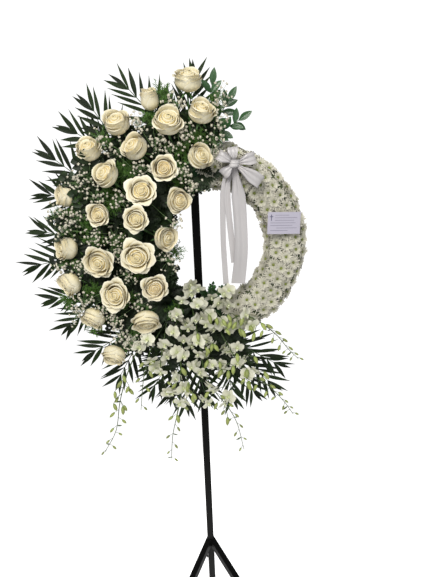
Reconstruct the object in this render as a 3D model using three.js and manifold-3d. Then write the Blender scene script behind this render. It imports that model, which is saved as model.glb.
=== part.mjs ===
// Funeral wreath on a steel easel: roses, palm, fern and baby's breath on the left half of a foam
// ring, orchid sprays below, white daisy-like blooms on the right half, a bow and a card.
// Millimetres, +Z up. The viewer stands on the -Y side. The origin is the middle of the pole's
// foot, on the floor.
import * as THREE from 'three';
import { mergeVertices } from 'three/addons/utils/BufferGeometryUtils.js';
import Module from 'manifold-3d';

const wasm = await Module();
wasm.setup();

// Easel
const POLE_SIDE = 22;
const POLE_TOP = 1640;
const LEG_SIDE = 20;
const STEEL_WALL = 1.5;
const LEG_TOP_Z = 270;
const FRONT_FOOT = [230, -265];
const REAR_FOOT = [0, 170];
const RUBBER_WALL = 3;
const RUBBER_FLOOR = 8;
const FOOT_HEIGHT = 26;
const HOOK_WIDTH = 16;
const HOOK_BAR = 5;
const HOOK_REACH = 84;
const HOOK_LIP = 14;
const HOOK_TAIL = 40;
const HOOK_ARM_RISE = 161.8;
const FAR = 400;

// Ring of floral foam in its plastic tray. The ring's axis is Y.
const RING = { x: 30, z: 1345 };
const RING_SEGMENTS = 24;
const RUNNER_SEGMENTS = 60;
const FOAM = { inner: 170, outer: 254, back: -14.1, front: -72, chamfer: 12 };
const TRAY_WALL = 2.5;
const TRAY_BACK = -11.3;
const TRAY_LIP = -30;
const GAP = 0.3;

// Stems and how they stand in the foam
const CLEARANCE = 0.5;
const JOINT_TOLERANCE = 0.1;
const KNEE_Y = -80;
const TOE_Y = -58;
const STEM_RADIUS = 2.6;
const RUNNER_RADIUS = 212;

// Daisy-like blooms on the right half of the ring
const DAISY_CORE = 3;
const DAISY_RADIUS = 23;
const DAISY_RISE = 8;
const DAISY_PITCH = 54;
const DAISY_PETALS = 6;
// Rows of blooms: radius, depth, and how far they face outwards and forwards.
const DAISY_ROWS = [
  [166.5, -47, -1, -0.3],
  [190, -75, -0.2, -1],
  [234, -75, 0.2, -1],
  [257, -50, 1, -0.4],
];
const DAISY_ARCS = { daisies_upper: [12, 89], daisies_lower: [-76, 10] };

// Ribbon and card
const RIBBON = 1.2;
const BOW_START = 10;
const BOW = { x: 96, y: -118, z: 1561 };
// Loops: angle in degrees, length, width and depth.
const BOW_LOOPS = [
  [150, 42, 34, 24], [97, 54, 38, 26], [14, 52, 38, 22], [-36, 82, 40, 26], [222, 36, 34, 22],
];
const BOW_TAILS = [
  {
    width: 15,
    points: [[70, -99, 1249], [66, -98, 1380], [70, -102, 1512], [86, -102, 1537], [92, -109, 1557]],
  },
  { width: 16, points: [[93, -101, 1308], [79, -101, 1484], [92, -102, 1537], [95, -109, 1557]] },
  {
    width: 38,
    points: [
      [103, -99, 1249], [112, -103, 1340], [110, -99, 1440], [104, -103, 1506], [100, -102, 1537],
      [98, -109, 1557],
    ],
  },
];
const CARD = { width: 86, height: 57, thickness: 1, x: 224, y: -108, z: 1408 };

// Colours
const COLOURS = {
  steel: [0x1b1b1d, 0.45, 0.6],
  rubber: [0x151515, 0.9, 0],
  plastic: [0x1f4a2c, 0.5, 0],
  foam: [0x2f6b3a, 0.95, 0],
  rose: [0xf1e8cf, 0.6, 0],
  palm: [0x1d3a1a, 0.5, 0],
  fern: [0x3f7a2c, 0.7, 0],
  leather: [0x24451f, 0.45, 0],
  breath: [0xe9e4d6, 0.8, 0],
  orchid: [0xf4f4ea, 0.6, 0],
  daisy: [0xf0eee4, 0.8, 0],
  ribbon: [0xe8e9ee, 0.35, 0],
  card: [0xeceaf4, 0.8, 0],
};

// Roses: head centre, head radius, lean of the face to the right and up in degrees, height factor,
// and the angle and radius on the ring where the stem enters the foam.
const ROSES = [
  { at: [-6, -120, 1750], radius: 32, right: 10, up: 60, tall: 1.05, root: [98, 238] },
  { at: [-97, -112, 1711], radius: 23, right: -5, up: 65, tall: 1.3, root: [111, 238] },
  { at: [-58, -135, 1661], radius: 33, right: 5, up: 35, tall: 1.05, root: [106, 238] },
  { at: [21, -125, 1681], radius: 31, right: 15, up: 45, tall: 1.05, root: [90, 238] },
  { at: [-177, -118, 1662], radius: 31, right: -10, up: 45, tall: 1.05, root: [127, 238] },
  { at: [-248, -115, 1605], radius: 30, right: -10, up: 45, tall: 1.05, root: [136, 238] },
  { at: [-139, -135, 1606], radius: 31, right: -35, up: 35, tall: 1, root: [119, 238] },
  { at: [-212, -138, 1547], radius: 31, right: -30, up: 30, tall: 1, root: [144, 238] },
  { at: [-320, -108, 1499], radius: 27, right: -60, up: 10, tall: 1.1, root: [153, 238] },
  { at: [-74, -140, 1556], radius: 28, right: 0, up: 10, tall: 0.9, root: [115, 222] },
  { at: [-130, -152, 1507], radius: 33, right: 0, up: 15, tall: 0.85, root: [132, 222] },
  { at: [13, -128, 1580], radius: 30, right: 30, up: 20, tall: 1, root: [94, 222] },
  { at: [-44, -138, 1479], radius: 29, right: 25, up: 5, tall: 1, root: [120, 190] },
  { at: [-237, -145, 1455], radius: 25, right: -10, up: 5, tall: 1, root: [161, 238] },
  { at: [-148, -165, 1443], radius: 28, right: 0, up: 0, tall: 0.85, root: [151, 198] },
  { at: [-81, -135, 1388], radius: 30, right: 40, up: 0, tall: 1, root: [160, 190] },
  { at: [-331, -112, 1371], radius: 29, right: -50, up: 10, tall: 1.15, root: [174, 238] },
  { at: [-248, -145, 1338], radius: 34, right: -15, up: -5, tall: 0.95, root: [181, 238] },
  { at: [-153, -165, 1351], radius: 38, right: 0, up: 0, tall: 0.8, root: [178, 190] },
  { at: [-336, -112, 1279], radius: 32, right: -55, up: -15, tall: 1.05, root: [190, 238] },
  { at: [-217, -148, 1251], radius: 36, right: -10, up: 10, tall: 0.95, root: [201, 238] },
  { at: [-117, -150, 1265], radius: 34, right: 5, up: 0, tall: 0.9, root: [208, 192] },
  { at: [-286, -118, 1181], radius: 31, right: -35, up: -35, tall: 1.05, root: [209, 238] },
  { at: [-146, -140, 1171], radius: 34, right: 0, up: -40, tall: 1, root: [221, 238] },
  { at: [-244, -120, 1070], radius: 32, right: -20, up: -35, tall: 1, root: [228, 238] },
];

// A rose head's rows from the calyx to the dimple: radius, height, lobe depth and lobe phase, in
// head radii and half turns of a lobe.
const ROSE_ROWS = [
  [0, 0, 0, 0], [0.28, 0.12, 0, 0], [0.86, 0.6, 0.03, 0], [1, 1.1, 0.1, 0],
  [0.72, 0.94, 0, 0], [0.58, 1.28, 0.12, 1], [0, 1.02, 0, 0],
];
const ROSE_SEGMENTS = 10;
const ROSE_MIDDLE = 0.85;

// Palm fronds: the angle of the shared root, then each frond's tip angle, tip radius and level.
const PALM_ROOT_RADIUS = 262;
const PALM_FRONT_Y = -58;
const PALM_LEVEL_STEP = 8;
const PALM_DROOP = 26;
const PALM_PLATE = 1.3;
const PALM_PAIRS = 5;
const FERN_PAIRS = 4;
const PALMS = {
  palm_top: [102, [[91, 478, 0], [112, 500, 1]]],
  palm_upper_left: [130, [[126, 478, 0], [137, 505, 1]]],
  palm_left_upper: [153, [[149, 505, 2], [161, 490, 3]]],
  palm_left: [178, [[173, 485, 0], [185, 518, 1]]],
  palm_left_lower: [203, [[197, 522, 2], [210, 545, 3]]],
  palm_lower_left: [229, [[222, 552, 0], [235, 560, 1]]],
  palm_bottom: [254, [[248, 560, 2], [259, 595, 1]]],
  palm_bottom_right: [276, [[279, 570, 0], [291, 600, 1]]],
};

// Fern: the runner's arc over the foam, its root, and the side fronds' angles.
const FERN_Y = -78;
const FERNS = {
  fern_upper: { arc: [99, 160], root: 124, fronds: [101, 115, 131, 148, 158] },
  fern_lower: { arc: [167, 247], root: 194, fronds: [168, 185, 196, 215, 234] },
};

// Baby's breath: the runner's arc, its root, and where each cluster shows.
const BREATH_Y = -90;
const FLORET = 4.5;
const TWIGS = 2;
const BREATH = {
  breath_top: {
    arc: [86, 128],
    root: 103,
    clusters: [[-37, 1699], [65, 1651], [-16, 1625], [-91, 1614], [-131, 1661], [-171, 1598]],
  },
  breath_left: {
    arc: [134, 186],
    root: 148,
    clusters: [[-128, 1559], [-266, 1542], [-241, 1497], [-289, 1447], [-262, 1396], [-200, 1396]],
  },
  breath_low: {
    arc: [192, 238],
    root: 215,
    clusters: [[-187, 1298], [-297, 1325], [-326, 1198], [-229, 1176], [-190, 1110], [-160, 1215]],
  },
};

// Orchids: each spray has stems from a root on the ring through hand-set points, the blooms' places
// and the number of buds on the last stretch of each stem.
const ORCHID_RADIUS = 22;
const ORCHIDS = {
  orchids_left: {
    root: [237, 228],
    stems: [
      { points: [[-104, -108, 1110], [-120, -124, 1030], [-108, -118, 955]], buds: 0 },
      { points: [[-140, -112, 1085], [-168, -118, 1000], [-186, -112, 890]], buds: 3 },
      {
        points: [
          [-160, -106, 1105], [-205, -124, 1030], [-240, -120, 930], [-262, -114, 830], [-304, -104, 750],
        ],
        buds: 6,
      },
    ],
    blooms: [[-106, 1098], [-119, 1018], [-108, 958]],
    depth: -128,
  },
  orchids_middle: {
    root: [246, 226],
    stems: [
      {
        points: [
          [-58, -112, 1110], [-66, -128, 1010], [-72, -124, 920], [-100, -112, 800], [-111, -104, 700],
        ],
        buds: 4,
      },
      { points: [[-62, -112, 1165], [-66, -116, 1190]], buds: 0 },
    ],
    blooms: [[-66, 1190], [-37, 1150], [-52, 1108], [-56, 1066], [-82, 1006], [-70, 922]],
    depth: -142,
  },
  orchids_right: {
    root: [258, 224],
    stems: [
      {
        points: [
          [-8, -118, 1080], [0, -138, 1010], [30, -132, 940], [66, -122, 880], [92, -112, 815],
          [111, -104, 720],
        ],
        buds: 5,
      },
      { points: [[-22, -112, 1170], [-26, -128, 1230], [-27, -124, 1268]], buds: 0 },
    ],
    blooms: [
      [-50, 1236], [-8, 1223], [-27, 1270], [-10, 1117], [-15, 1072], [-15, 1019], [19, 968], [46, 926],
    ],
    depth: -156,
  },
  orchids_far_right: {
    root: [274, 226],
    stems: [
      {
        points: [
          [62, -112, 1140], [110, -128, 1168], [160, -130, 1142], [205, -122, 1100], [240, -114, 1052],
          [272, -106, 1015],
        ],
        buds: 5,
      },
      {
        points: [
          [66, -108, 1080], [112, -122, 1000], [176, -118, 948], [228, -110, 885], [262, -104, 830],
        ],
        buds: 5,
      },
      { points: [[36, -108, 1170], [27, -118, 1222]], buds: 0 },
    ],
    blooms: [[27, 1226], [25, 1180], [77, 1206], [119, 1172], [58, 1066], [120, 992]],
    depth: -132,
  },
};

// Leafy sprigs: the root's angle, radius and depth, then each twig's tip and leaf size.
const SPRIGS = {
  sprig_top: { root: [91, 250, -64], leaf: [38, 17],
    tips: [[50, -90, 1740], [88, -88, 1704], [112, -94, 1660]] },
  sprig_low: { root: [268, 168, -52], leaf: [15, 8],
    tips: [[8, -74, 1222], [36, -86, 1236], [68, -80, 1218]] },
};

// Seeded random numbers, so that every build gives the same wreath.
function randomFrom(seed) {
  let state = seed;
  return () => {
    state = (state * 1664525 + 1013904223) % 4294967296;
    return state / 4294967296;
  };
}
const random = randomFrom(2026);
const between = (low, high) => low + (high - low) * random();

const point = (x, y, z) => new THREE.Vector3(x, y, z);
const radians = (degrees) => THREE.MathUtils.degToRad(degrees);

// A place on the ring: angle in degrees from +X towards +Z, radius from the ring's axis, depth.
function onRing(degrees, radius, y) {
  const angle = radians(degrees);
  return point(RING.x + radius * Math.cos(angle), y, RING.z + radius * Math.sin(angle));
}

// The closed mesh of a geometry as a solid that can be joined and cut.
function solidOf(geometry) {
  const plain = geometry.clone();
  plain.deleteAttribute('normal');
  plain.deleteAttribute('uv');
  const merged = mergeVertices(plain, 1e-4);
  const index = merged.index.array;
  const kept = [];
  for (let i = 0; i < index.length; i += 3) {
    const [a, b, c] = [index[i], index[i + 1], index[i + 2]];
    if (a !== b && b !== c && c !== a) kept.push(a, b, c);
  }
  return new wasm.Manifold(new wasm.Mesh({
    numProp: 3,
    vertProperties: new Float32Array(merged.attributes.position.array),
    triVerts: new Uint32Array(kept),
  }));
}

// One body from solids that run into each other. A loose scrap or a sealed hollow drops out.
function fuse(solids) {
  const bodies = wasm.Manifold.union(solids).simplify(JOINT_TOLERANCE).decompose();
  bodies.sort((a, b) => b.volume() - a.volume());
  return bodies[0];
}

const wreath = new THREE.Group();
const materials = Object.fromEntries(Object.entries(COLOURS).map(([name, [color, roughness, metalness]]) => (
  [name, new THREE.MeshStandardMaterial({ color, roughness, metalness })]
)));

function addPart(name, solid, material) {
  const mesh = solid.getMesh();
  const geometry = new THREE.BufferGeometry();
  geometry.setAttribute('position', new THREE.BufferAttribute(mesh.vertProperties, 3));
  geometry.setIndex(new THREE.BufferAttribute(mesh.triVerts, 1));
  geometry.computeVertexNormals();
  const part = new THREE.Mesh(geometry, materials[material]);
  part.name = name;
  wreath.add(part);
}

// Moves a geometry so that its +Y runs along a direction and its +Z as near as it can to a normal.
function aim(geometry, origin, along, normal) {
  const y = along.clone().normalize();
  const x = new THREE.Vector3().crossVectors(y, normal).normalize();
  const z = new THREE.Vector3().crossVectors(x, y);
  const matrix = new THREE.Matrix4().makeBasis(x, y, z).setPosition(origin);
  return geometry.applyMatrix4(matrix);
}

// A stem or twig through points, with a radius at each of them.
function stemThrough(points, radii, sides = 4) {
  const last = points.length - 1;
  const first = points[1].clone().sub(points[0]);
  const bend = first.clone().cross(points[last].clone().sub(points[last - 1]));
  if (bend.length() < 1) {
    bend.copy(Math.abs(first.x) < 0.8 * first.length() ? point(1, 0, 0) : point(0, 0, 1));
  }
  const frames = points.map((place, i) => {
    const before = place.clone().sub(points[Math.max(i - 1, 0)]).normalize();
    const after = points[Math.min(i + 1, last)].clone().sub(place).normalize();
    const along = before.add(after).normalize();
    const x = new THREE.Vector3().crossVectors(along, bend).normalize();
    return [x, new THREE.Vector3().crossVectors(x, along)];
  });
  const geometry = new THREE.CylinderGeometry(1, 1, last, sides, last);
  const place = geometry.attributes.position;
  for (let i = 0; i < place.count; i += 1) {
    const row = Math.round(last / 2 + place.getY(i));
    const [x, z] = frames[row];
    const moved = points[row].clone().addScaledVector(x, place.getX(i) * radii[row]);
    moved.addScaledVector(z, place.getZ(i) * radii[row]);
    place.setXYZ(i, moved.x, moved.y, moved.z);
  }
  return solidOf(geometry);
}

// A straight stem between two points.
function rod(from, to, radius, tipRadius = radius, sides = 4) {
  return stemThrough([from, to], [radius, tipRadius], sides);
}

// A leaf, bud or floret with a diamond section: length along +Y, widest part way up.
function lens(length, width, thickness, widest = 0.4) {
  const rows = [[0, 0], [width / 2, length * widest], [0, length]];
  const profile = rows.map(([radius, height]) => new THREE.Vector2(radius, height));
  return new THREE.LatheGeometry(profile, 4).scale(1, 1, thickness / width);
}

// A star of petals round +Y, from rows of radius and height.
function star(rows, petals, valley) {
  const profile = rows.map(([radius, height]) => new THREE.Vector2(radius, height));
  const geometry = new THREE.LatheGeometry(profile, petals * 2);
  const place = geometry.attributes.position;
  for (let i = 0; i < place.count; i += 1) {
    const angle = Math.atan2(place.getX(i), place.getZ(i));
    const reach = valley + (1 - valley) * (0.5 + 0.5 * Math.cos(petals * angle));
    place.setX(i, place.getX(i) * reach);
    place.setZ(i, place.getZ(i) * reach);
  }
  return geometry;
}

// What is already in the way, as capsules with the name of their part.
const taken = [];

function take(part, from, to, radius) {
  taken.push({ part, from, to, radius });
}

function segmentDistance(a, b, c, d) {
  const u = b.clone().sub(a);
  const v = d.clone().sub(c);
  const w = a.clone().sub(c);
  const uu = u.dot(u) + 1e-9;
  const vv = v.dot(v) + 1e-9;
  const uv = u.dot(v);
  const clamp = (value) => THREE.MathUtils.clamp(value, 0, 1);
  let s = clamp((uv * v.dot(w) - vv * u.dot(w)) / (uu * vv - uv * uv + 1e-9));
  const t = clamp((uv * s + v.dot(w)) / vv);
  s = clamp((uv * t - u.dot(w)) / uu);
  return a.clone().addScaledVector(u, s).distanceTo(c.clone().addScaledVector(v, t));
}

function isClear(part, from, to, radius) {
  return taken.every((other) => other.part === part
    || segmentDistance(from, to, other.from, other.to) > radius + other.radius + CLEARANCE);
}

// Holes that the stems stand in, cut from the foam and from the daisies' core.
const sockets = [];

function addSocket(from, to, radius) {
  const along = to.clone().sub(from).normalize();
  const past = from.clone().addScaledVector(along, -6);
  const deep = to.clone().addScaledVector(along, CLEARANCE);
  sockets.push(rod(past, deep, (radius + CLEARANCE) * Math.SQRT2));
}

// A stem from a bloom or a runner to a knee in front of the foam, and on into its hole.
function rootedStem(part, neck, knee, toe, radius) {
  addSocket(knee, toe, radius);
  take(part, neck, knee, radius);
  take(part, knee, toe, radius * Math.SQRT2);
  return stemThrough([neck, knee, toe], [radius, radius, radius], 3);
}

// A square bar between two points, with one face as level as it can be.
function squareBar(from, to, side) {
  const along = to.clone().sub(from);
  const geometry = new THREE.BoxGeometry(side, along.length(), side).translate(0, along.length() / 2, 0);
  const normal = Math.abs(along.x) + Math.abs(along.y) < 1 ? point(0, 1, 0) : point(0, 0, 1);
  return solidOf(aim(geometry, from, along, normal));
}

function blockFrom(low, high) {
  const size = high.clone().sub(low);
  const centre = high.clone().add(low).multiplyScalar(0.5);
  return solidOf(new THREE.BoxGeometry(size.x, size.y, size.z).translate(centre.x, centre.y, centre.z));
}

function addEasel() {
  const poleLow = point(0, 0, RUBBER_FLOOR + GAP);
  const poleHigh = point(0, 0, POLE_TOP);
  const bore = squareBar(point(0, 0, 0), point(0, 0, POLE_TOP + 1), POLE_SIDE - 2 * STEEL_WALL);
  addPart('pole', squareBar(poleLow, poleHigh, POLE_SIDE).subtract(bore), 'steel');

  const pocket = squareBar(point(0, 0, RUBBER_FLOOR), poleHigh, POLE_SIDE + 2 * GAP);
  const boot = squareBar(point(0, 0, 0), point(0, 0, FOOT_HEIGHT), POLE_SIDE + 2 * GAP + 2 * RUBBER_WALL);
  addPart('foot_pole', boot.subtract(pocket), 'rubber');

  const around = squareBar(point(0, 0, 0), poleHigh, POLE_SIDE + 2 * GAP);
  const top = point(0, 0, LEG_TOP_Z);
  const legs = {
    front_left: [-FRONT_FOOT[0], FRONT_FOOT[1]],
    front_right: FRONT_FOOT,
    rear: REAR_FOOT,
  };
  for (const [name, [x, y]] of Object.entries(legs)) {
    const heel = point(x, y, 0);
    const slope = heel.clone().sub(top).normalize();
    const beyond = heel.clone().addScaledVector(slope, 40);
    const cuff = heel.clone().addScaledVector(slope, -FOOT_HEIGHT / -slope.z);
    const above = (z) => blockFrom(point(-FAR, -FAR, z), point(FAR, FAR, FAR));
    let tube = squareBar(top, beyond, LEG_SIDE).subtract(squareBar(top, beyond, LEG_SIDE - 2 * STEEL_WALL));
    tube = tube.subtract(around).intersect(above(RUBBER_FLOOR + GAP));
    if (name === 'front_left') {
      tube = tube.intersect(blockFrom(point(-FAR, -FAR, 0), point(-GAP / 2, FAR, FAR)));
    }
    if (name === 'front_right') {
      tube = tube.intersect(blockFrom(point(GAP / 2, -FAR, 0), point(FAR, FAR, FAR)));
    }
    addPart(`leg_${name}`, fuse([tube]), 'steel');
    const hollow = squareBar(top, beyond, LEG_SIDE + 2 * GAP).intersect(above(RUBBER_FLOOR));
    const shoe = squareBar(cuff, beyond, LEG_SIDE + 2 * GAP + 2 * RUBBER_WALL).intersect(above(0));
    addPart(`foot_${name}`, fuse([shoe.subtract(hollow)]), 'rubber');
  }
}

// The hook is a bent flat bar on the pole's front face. The tray's inner rim sits on its arm.
function addHook() {
  const arm = RING.z + HOOK_ARM_RISE;
  const back = -POLE_SIDE / 2 - GAP;
  const outline = [
    [back, arm - HOOK_TAIL], [back, arm], [-HOOK_REACH + HOOK_BAR, arm],
    [-HOOK_REACH + HOOK_BAR, arm + HOOK_LIP],
    [-HOOK_REACH, arm + HOOK_LIP], [-HOOK_REACH, arm - HOOK_BAR], [back - HOOK_BAR, arm - HOOK_BAR],
    [back - HOOK_BAR, arm - HOOK_TAIL],
  ];
  const shape = new THREE.Shape(outline.map(([y, z]) => new THREE.Vector2(y, z)));
  const geometry = new THREE.ExtrudeGeometry(shape, { depth: HOOK_WIDTH, bevelEnabled: false });
  geometry.translate(0, 0, -HOOK_WIDTH / 2);
  const matrix = new THREE.Matrix4().makeBasis(point(0, 1, 0), point(0, 0, 1), point(1, 0, 0));
  addPart('hook', solidOf(geometry.applyMatrix4(matrix)), 'steel');
  take('hook', point(0, -HOOK_REACH, arm), point(0, -HOOK_REACH, arm + HOOK_LIP), HOOK_WIDTH / 2 + 2);
  take('hook', point(0, -40, arm), point(0, -HOOK_REACH, arm), HOOK_WIDTH / 2 + 1);
}

// The radius at which a point lies on the flat between two corners of a ring of facets.
function facetRadius(degrees, radius) {
  const half = Math.PI / RING_SEGMENTS;
  const turn = radians(degrees + 360) % (2 * half);
  return (radius * Math.cos(half)) / Math.cos(turn - half);
}

// A ring round the Y axis from a closed outline of radius and depth.
function ringOf(outline, segments = RING_SEGMENTS) {
  const profile = [...outline, outline[0]].map(([radius, y]) => new THREE.Vector2(radius, y));
  const ring = solidOf(new THREE.LatheGeometry(profile, segments).translate(RING.x, 0, RING.z));
  if (ring.volume() > 0) return ring;
  profile.reverse();
  return solidOf(new THREE.LatheGeometry(profile, segments).translate(RING.x, 0, RING.z));
}

// The foam's section from its back edge over the front, moved out by a distance.
function foamSection(out, back) {
  const slant = out * Math.tan(Math.PI / 8);
  const { inner, outer, front, chamfer } = FOAM;
  return [
    [inner - out, back], [inner - out, front + chamfer - slant], [inner + chamfer - slant, front - out],
    [outer - chamfer + slant, front - out], [outer + out, front + chamfer - slant], [outer + out, back],
  ];
}

function addTray() {
  const inside = FOAM.inner - GAP;
  const outside = FOAM.outer + GAP;
  const floor = TRAY_BACK - TRAY_WALL;
  addPart('tray', ringOf([
    [inside - TRAY_WALL, TRAY_BACK], [inside - TRAY_WALL, TRAY_LIP], [inside, TRAY_LIP], [inside, floor],
    [outside, floor], [outside, TRAY_LIP], [outside + TRAY_WALL, TRAY_LIP], [outside + TRAY_WALL, TRAY_BACK],
  ]), 'plastic');
}

function roseHead(radius, tall) {
  const rows = ROSE_ROWS.length;
  const profile = ROSE_ROWS.map(([r, h]) => new THREE.Vector2(r * radius, h * radius * tall));
  const geometry = new THREE.LatheGeometry(profile, ROSE_SEGMENTS);
  const place = geometry.attributes.position;
  for (let i = 0; i < place.count; i += 1) {
    const [, , lobe, phase] = ROSE_ROWS[i % rows];
    const angle = Math.atan2(place.getX(i), place.getZ(i));
    const wave = lobe * Math.cos((ROSE_SEGMENTS / 2) * angle + phase * Math.PI);
    place.setX(i, place.getX(i) * (1 + wave));
    place.setZ(i, place.getZ(i) * (1 + wave));
    place.setY(i, place.getY(i) + 0.5 * wave * radius);
  }
  return geometry;
}

function addRose(name, { at, radius, right, up, tall, root }) {
  const centre = point(...at);
  const [turn, lift] = [radians(right), radians(up)];
  const face = point(Math.sin(turn) * Math.cos(lift), -Math.cos(turn) * Math.cos(lift), Math.sin(lift));
  const calyx = centre.clone().addScaledVector(face, -ROSE_MIDDLE * radius * tall);
  const roll = point(Math.cos(between(0, 6)), 0.2, Math.sin(between(0, 6)));
  const head = solidOf(aim(roseHead(radius, tall), calyx, face, roll));
  const neck = calyx.clone().addScaledVector(face, 3);
  const knee = onRing(root[0], root[1], KNEE_Y);
  const toe = onRing(root[0], root[1] + (root[1] < RUNNER_RADIUS ? 4 : -4), TOE_Y);
  const stem = rootedStem(name, neck, knee, toe, STEM_RADIUS);
  take(name, centre, centre.clone().addScaledVector(face, 0.2 * radius), 1.12 * radius);
  take(name, calyx, centre, 0.55 * radius);
  addPart(name, fuse([head, stem]), 'rose');
}

// A frond as one thin plate in a plane of its own, with its leaflets cut to the rib. The style
// gives the pairs, the share of the rib that is bare, the leaflets' angles and lengths and their
// width at the rib. A leaflet that isn't kept is left off.
function frondPlate(length, style, keep) {
  const { pairs, bare, angles, reaches, foot, ribWidth } = style;
  const edge = [];
  for (const side of [1, -1]) {
    const half = [new THREE.Vector2(0, ribWidth * side)];
    for (let i = 0; i < pairs; i += 1) {
      const share = (i + 0.5) / pairs;
      const start = length * (bare + (0.88 - bare) * share);
      const angle = radians(angles[0] + (angles[1] - angles[0]) * share + between(-5, 5)) * side;
      const reach = length * (reaches[0] - reaches[1] * Math.abs(share - 0.35)) * between(0.9, 1.05);
      const base = new THREE.Vector2(start, 0);
      const tip = new THREE.Vector2(Math.cos(angle), Math.sin(angle)).multiplyScalar(reach).add(base);
      if (!keep(base, tip)) continue;
      half.push(new THREE.Vector2(start, 0.7 * ribWidth * side), tip);
      half.push(new THREE.Vector2(start + foot, 0.6 * ribWidth * side));
    }
    if (side === 1) edge.push(...half, new THREE.Vector2(length, 0));
    else edge.push(...half.reverse());
  }
  return new THREE.ExtrudeGeometry(new THREE.Shape(edge), { depth: PALM_PLATE, bevelEnabled: false });
}

const PALM_STYLE = {
  pairs: PALM_PAIRS, bare: 0.2, angles: [54, 26], reaches: [0.36, 0.18], foot: 12, ribWidth: 3,
};
const FERN_STYLE = {
  pairs: FERN_PAIRS, bare: 0.14, angles: [62, 40], reaches: [0.26, 0.14], foot: 9, ribWidth: 2,
};

// A palm frond faces the viewer and droops away from the viewer towards its tip.
function palmFrond(root, tip, y) {
  const rib = tip.clone().sub(root).setY(0);
  const geometry = frondPlate(rib.length(), PALM_STYLE, () => true);
  const along = rib.normalize();
  const place = geometry.attributes.position;
  for (let i = 0; i < place.count; i += 1) {
    const x = root.x + along.x * place.getX(i) - along.z * place.getY(i);
    const z = root.z + along.z * place.getX(i) + along.x * place.getY(i);
    const out = Math.max(Math.hypot(x - RING.x, z - RING.z) - FOAM.outer, 0);
    place.setXYZ(i, x, y + PALM_DROOP * (out / 300) ** 2 - place.getZ(i), z);
  }
  return solidOf(geometry);
}

const levelOf = (step) => PALM_FRONT_Y + step * PALM_LEVEL_STEP;

function addPalm(name, rootAngle, fronds) {
  const levels = fronds.map(([, , step]) => levelOf(step));
  const low = Math.min(...levels) - PALM_PLATE - 0.5;
  const high = Math.max(...levels) + 0.5;
  const middle = (low + high) / 2;
  const root = onRing(rootAngle, PALM_ROOT_RADIUS, 0);
  const peg = rod(root.clone().setY(low), root.clone().setY(high), 4.5, 4.5, 5);
  const start = onRing(rootAngle, PALM_ROOT_RADIUS, middle);
  const end = onRing(rootAngle, FOAM.outer - 14, middle);
  addSocket(start, end, 2.2);
  const solids = [peg, rod(start, end, 2.2)];
  for (const [tipAngle, tipRadius, step] of fronds) {
    solids.push(palmFrond(root, onRing(tipAngle, tipRadius, 0), levelOf(step)));
  }
  addPart(name, fuse(solids), 'palm');
}

// A runner along the foam's front that carries the side fronds or branches of one part.
function runner(part, arc, y, half) {
  for (let angle = arc[0]; angle < arc[1]; angle += 6) {
    const next = Math.min(angle + 6, arc[1]);
    take(part, onRing(angle, RUNNER_RADIUS, y), onRing(next, RUNNER_RADIUS, y), half * Math.SQRT2);
  }
  const [inner, outer] = [RUNNER_RADIUS - half, RUNNER_RADIUS + half];
  const section = [[inner, y - half], [outer, y - half], [outer, y + half], [inner, y + half]];
  return sectorOf(ringOf(section, RUNNER_SEGMENTS), arc);
}

// A side frond of fern, bent clear of the rose stems. It has no plate where no way is free.
function fernFrond(part, angle) {
  for (let attempt = 0; attempt < 40; attempt += 1) {
    const from = onRing(angle + between(-3, 3), RUNNER_RADIUS, FERN_Y);
    const to = onRing(angle + between(-8, 8), between(305, 350) - attempt * 2, FERN_Y - between(1, 12));
    if (!isClear(part, from, to, 2.2)) continue;
    const along = to.clone().sub(from);
    const length = along.length();
    along.normalize();
    const across = new THREE.Vector3().crossVectors(point(0, 1, 0), along).normalize();
    const placed = (flat) => from.clone().addScaledVector(along, flat.x).addScaledVector(across, flat.y);
    const geometry = frondPlate(length, FERN_STYLE, (base, tip) => {
      const [inner, outer] = [placed(base.clone().lerp(tip, 0.1)), placed(tip)];
      const free = isClear(part, inner, outer, 5);
      if (free) take(part, inner, outer, 4);
      return free;
    });
    take(part, from, to, 2.2);
    const back = new THREE.Vector3().crossVectors(along, across);
    geometry.translate(0, 0, -PALM_PLATE / 2);
    geometry.applyMatrix4(new THREE.Matrix4().makeBasis(along, across, back).setPosition(from));
    return [solidOf(geometry)];
  }
  return [];
}

function addFern(name, { arc, root, fronds }) {
  const knee = onRing(root, RUNNER_RADIUS, FERN_Y);
  const solids = [runner(name, arc, FERN_Y, 1.6)];
  solids.push(rootedStem(name, knee.clone().setY(FERN_Y - 1.5), knee, knee.clone().setY(TOE_Y), 1.8));
  for (const angle of fronds) solids.push(...fernFrond(name, angle));
  addPart(name, fuse(solids), 'fern');
}

const bulgeEnd = (base, tip) => tip.clone().add(tip.clone().sub(base).setLength(FLORET));

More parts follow.
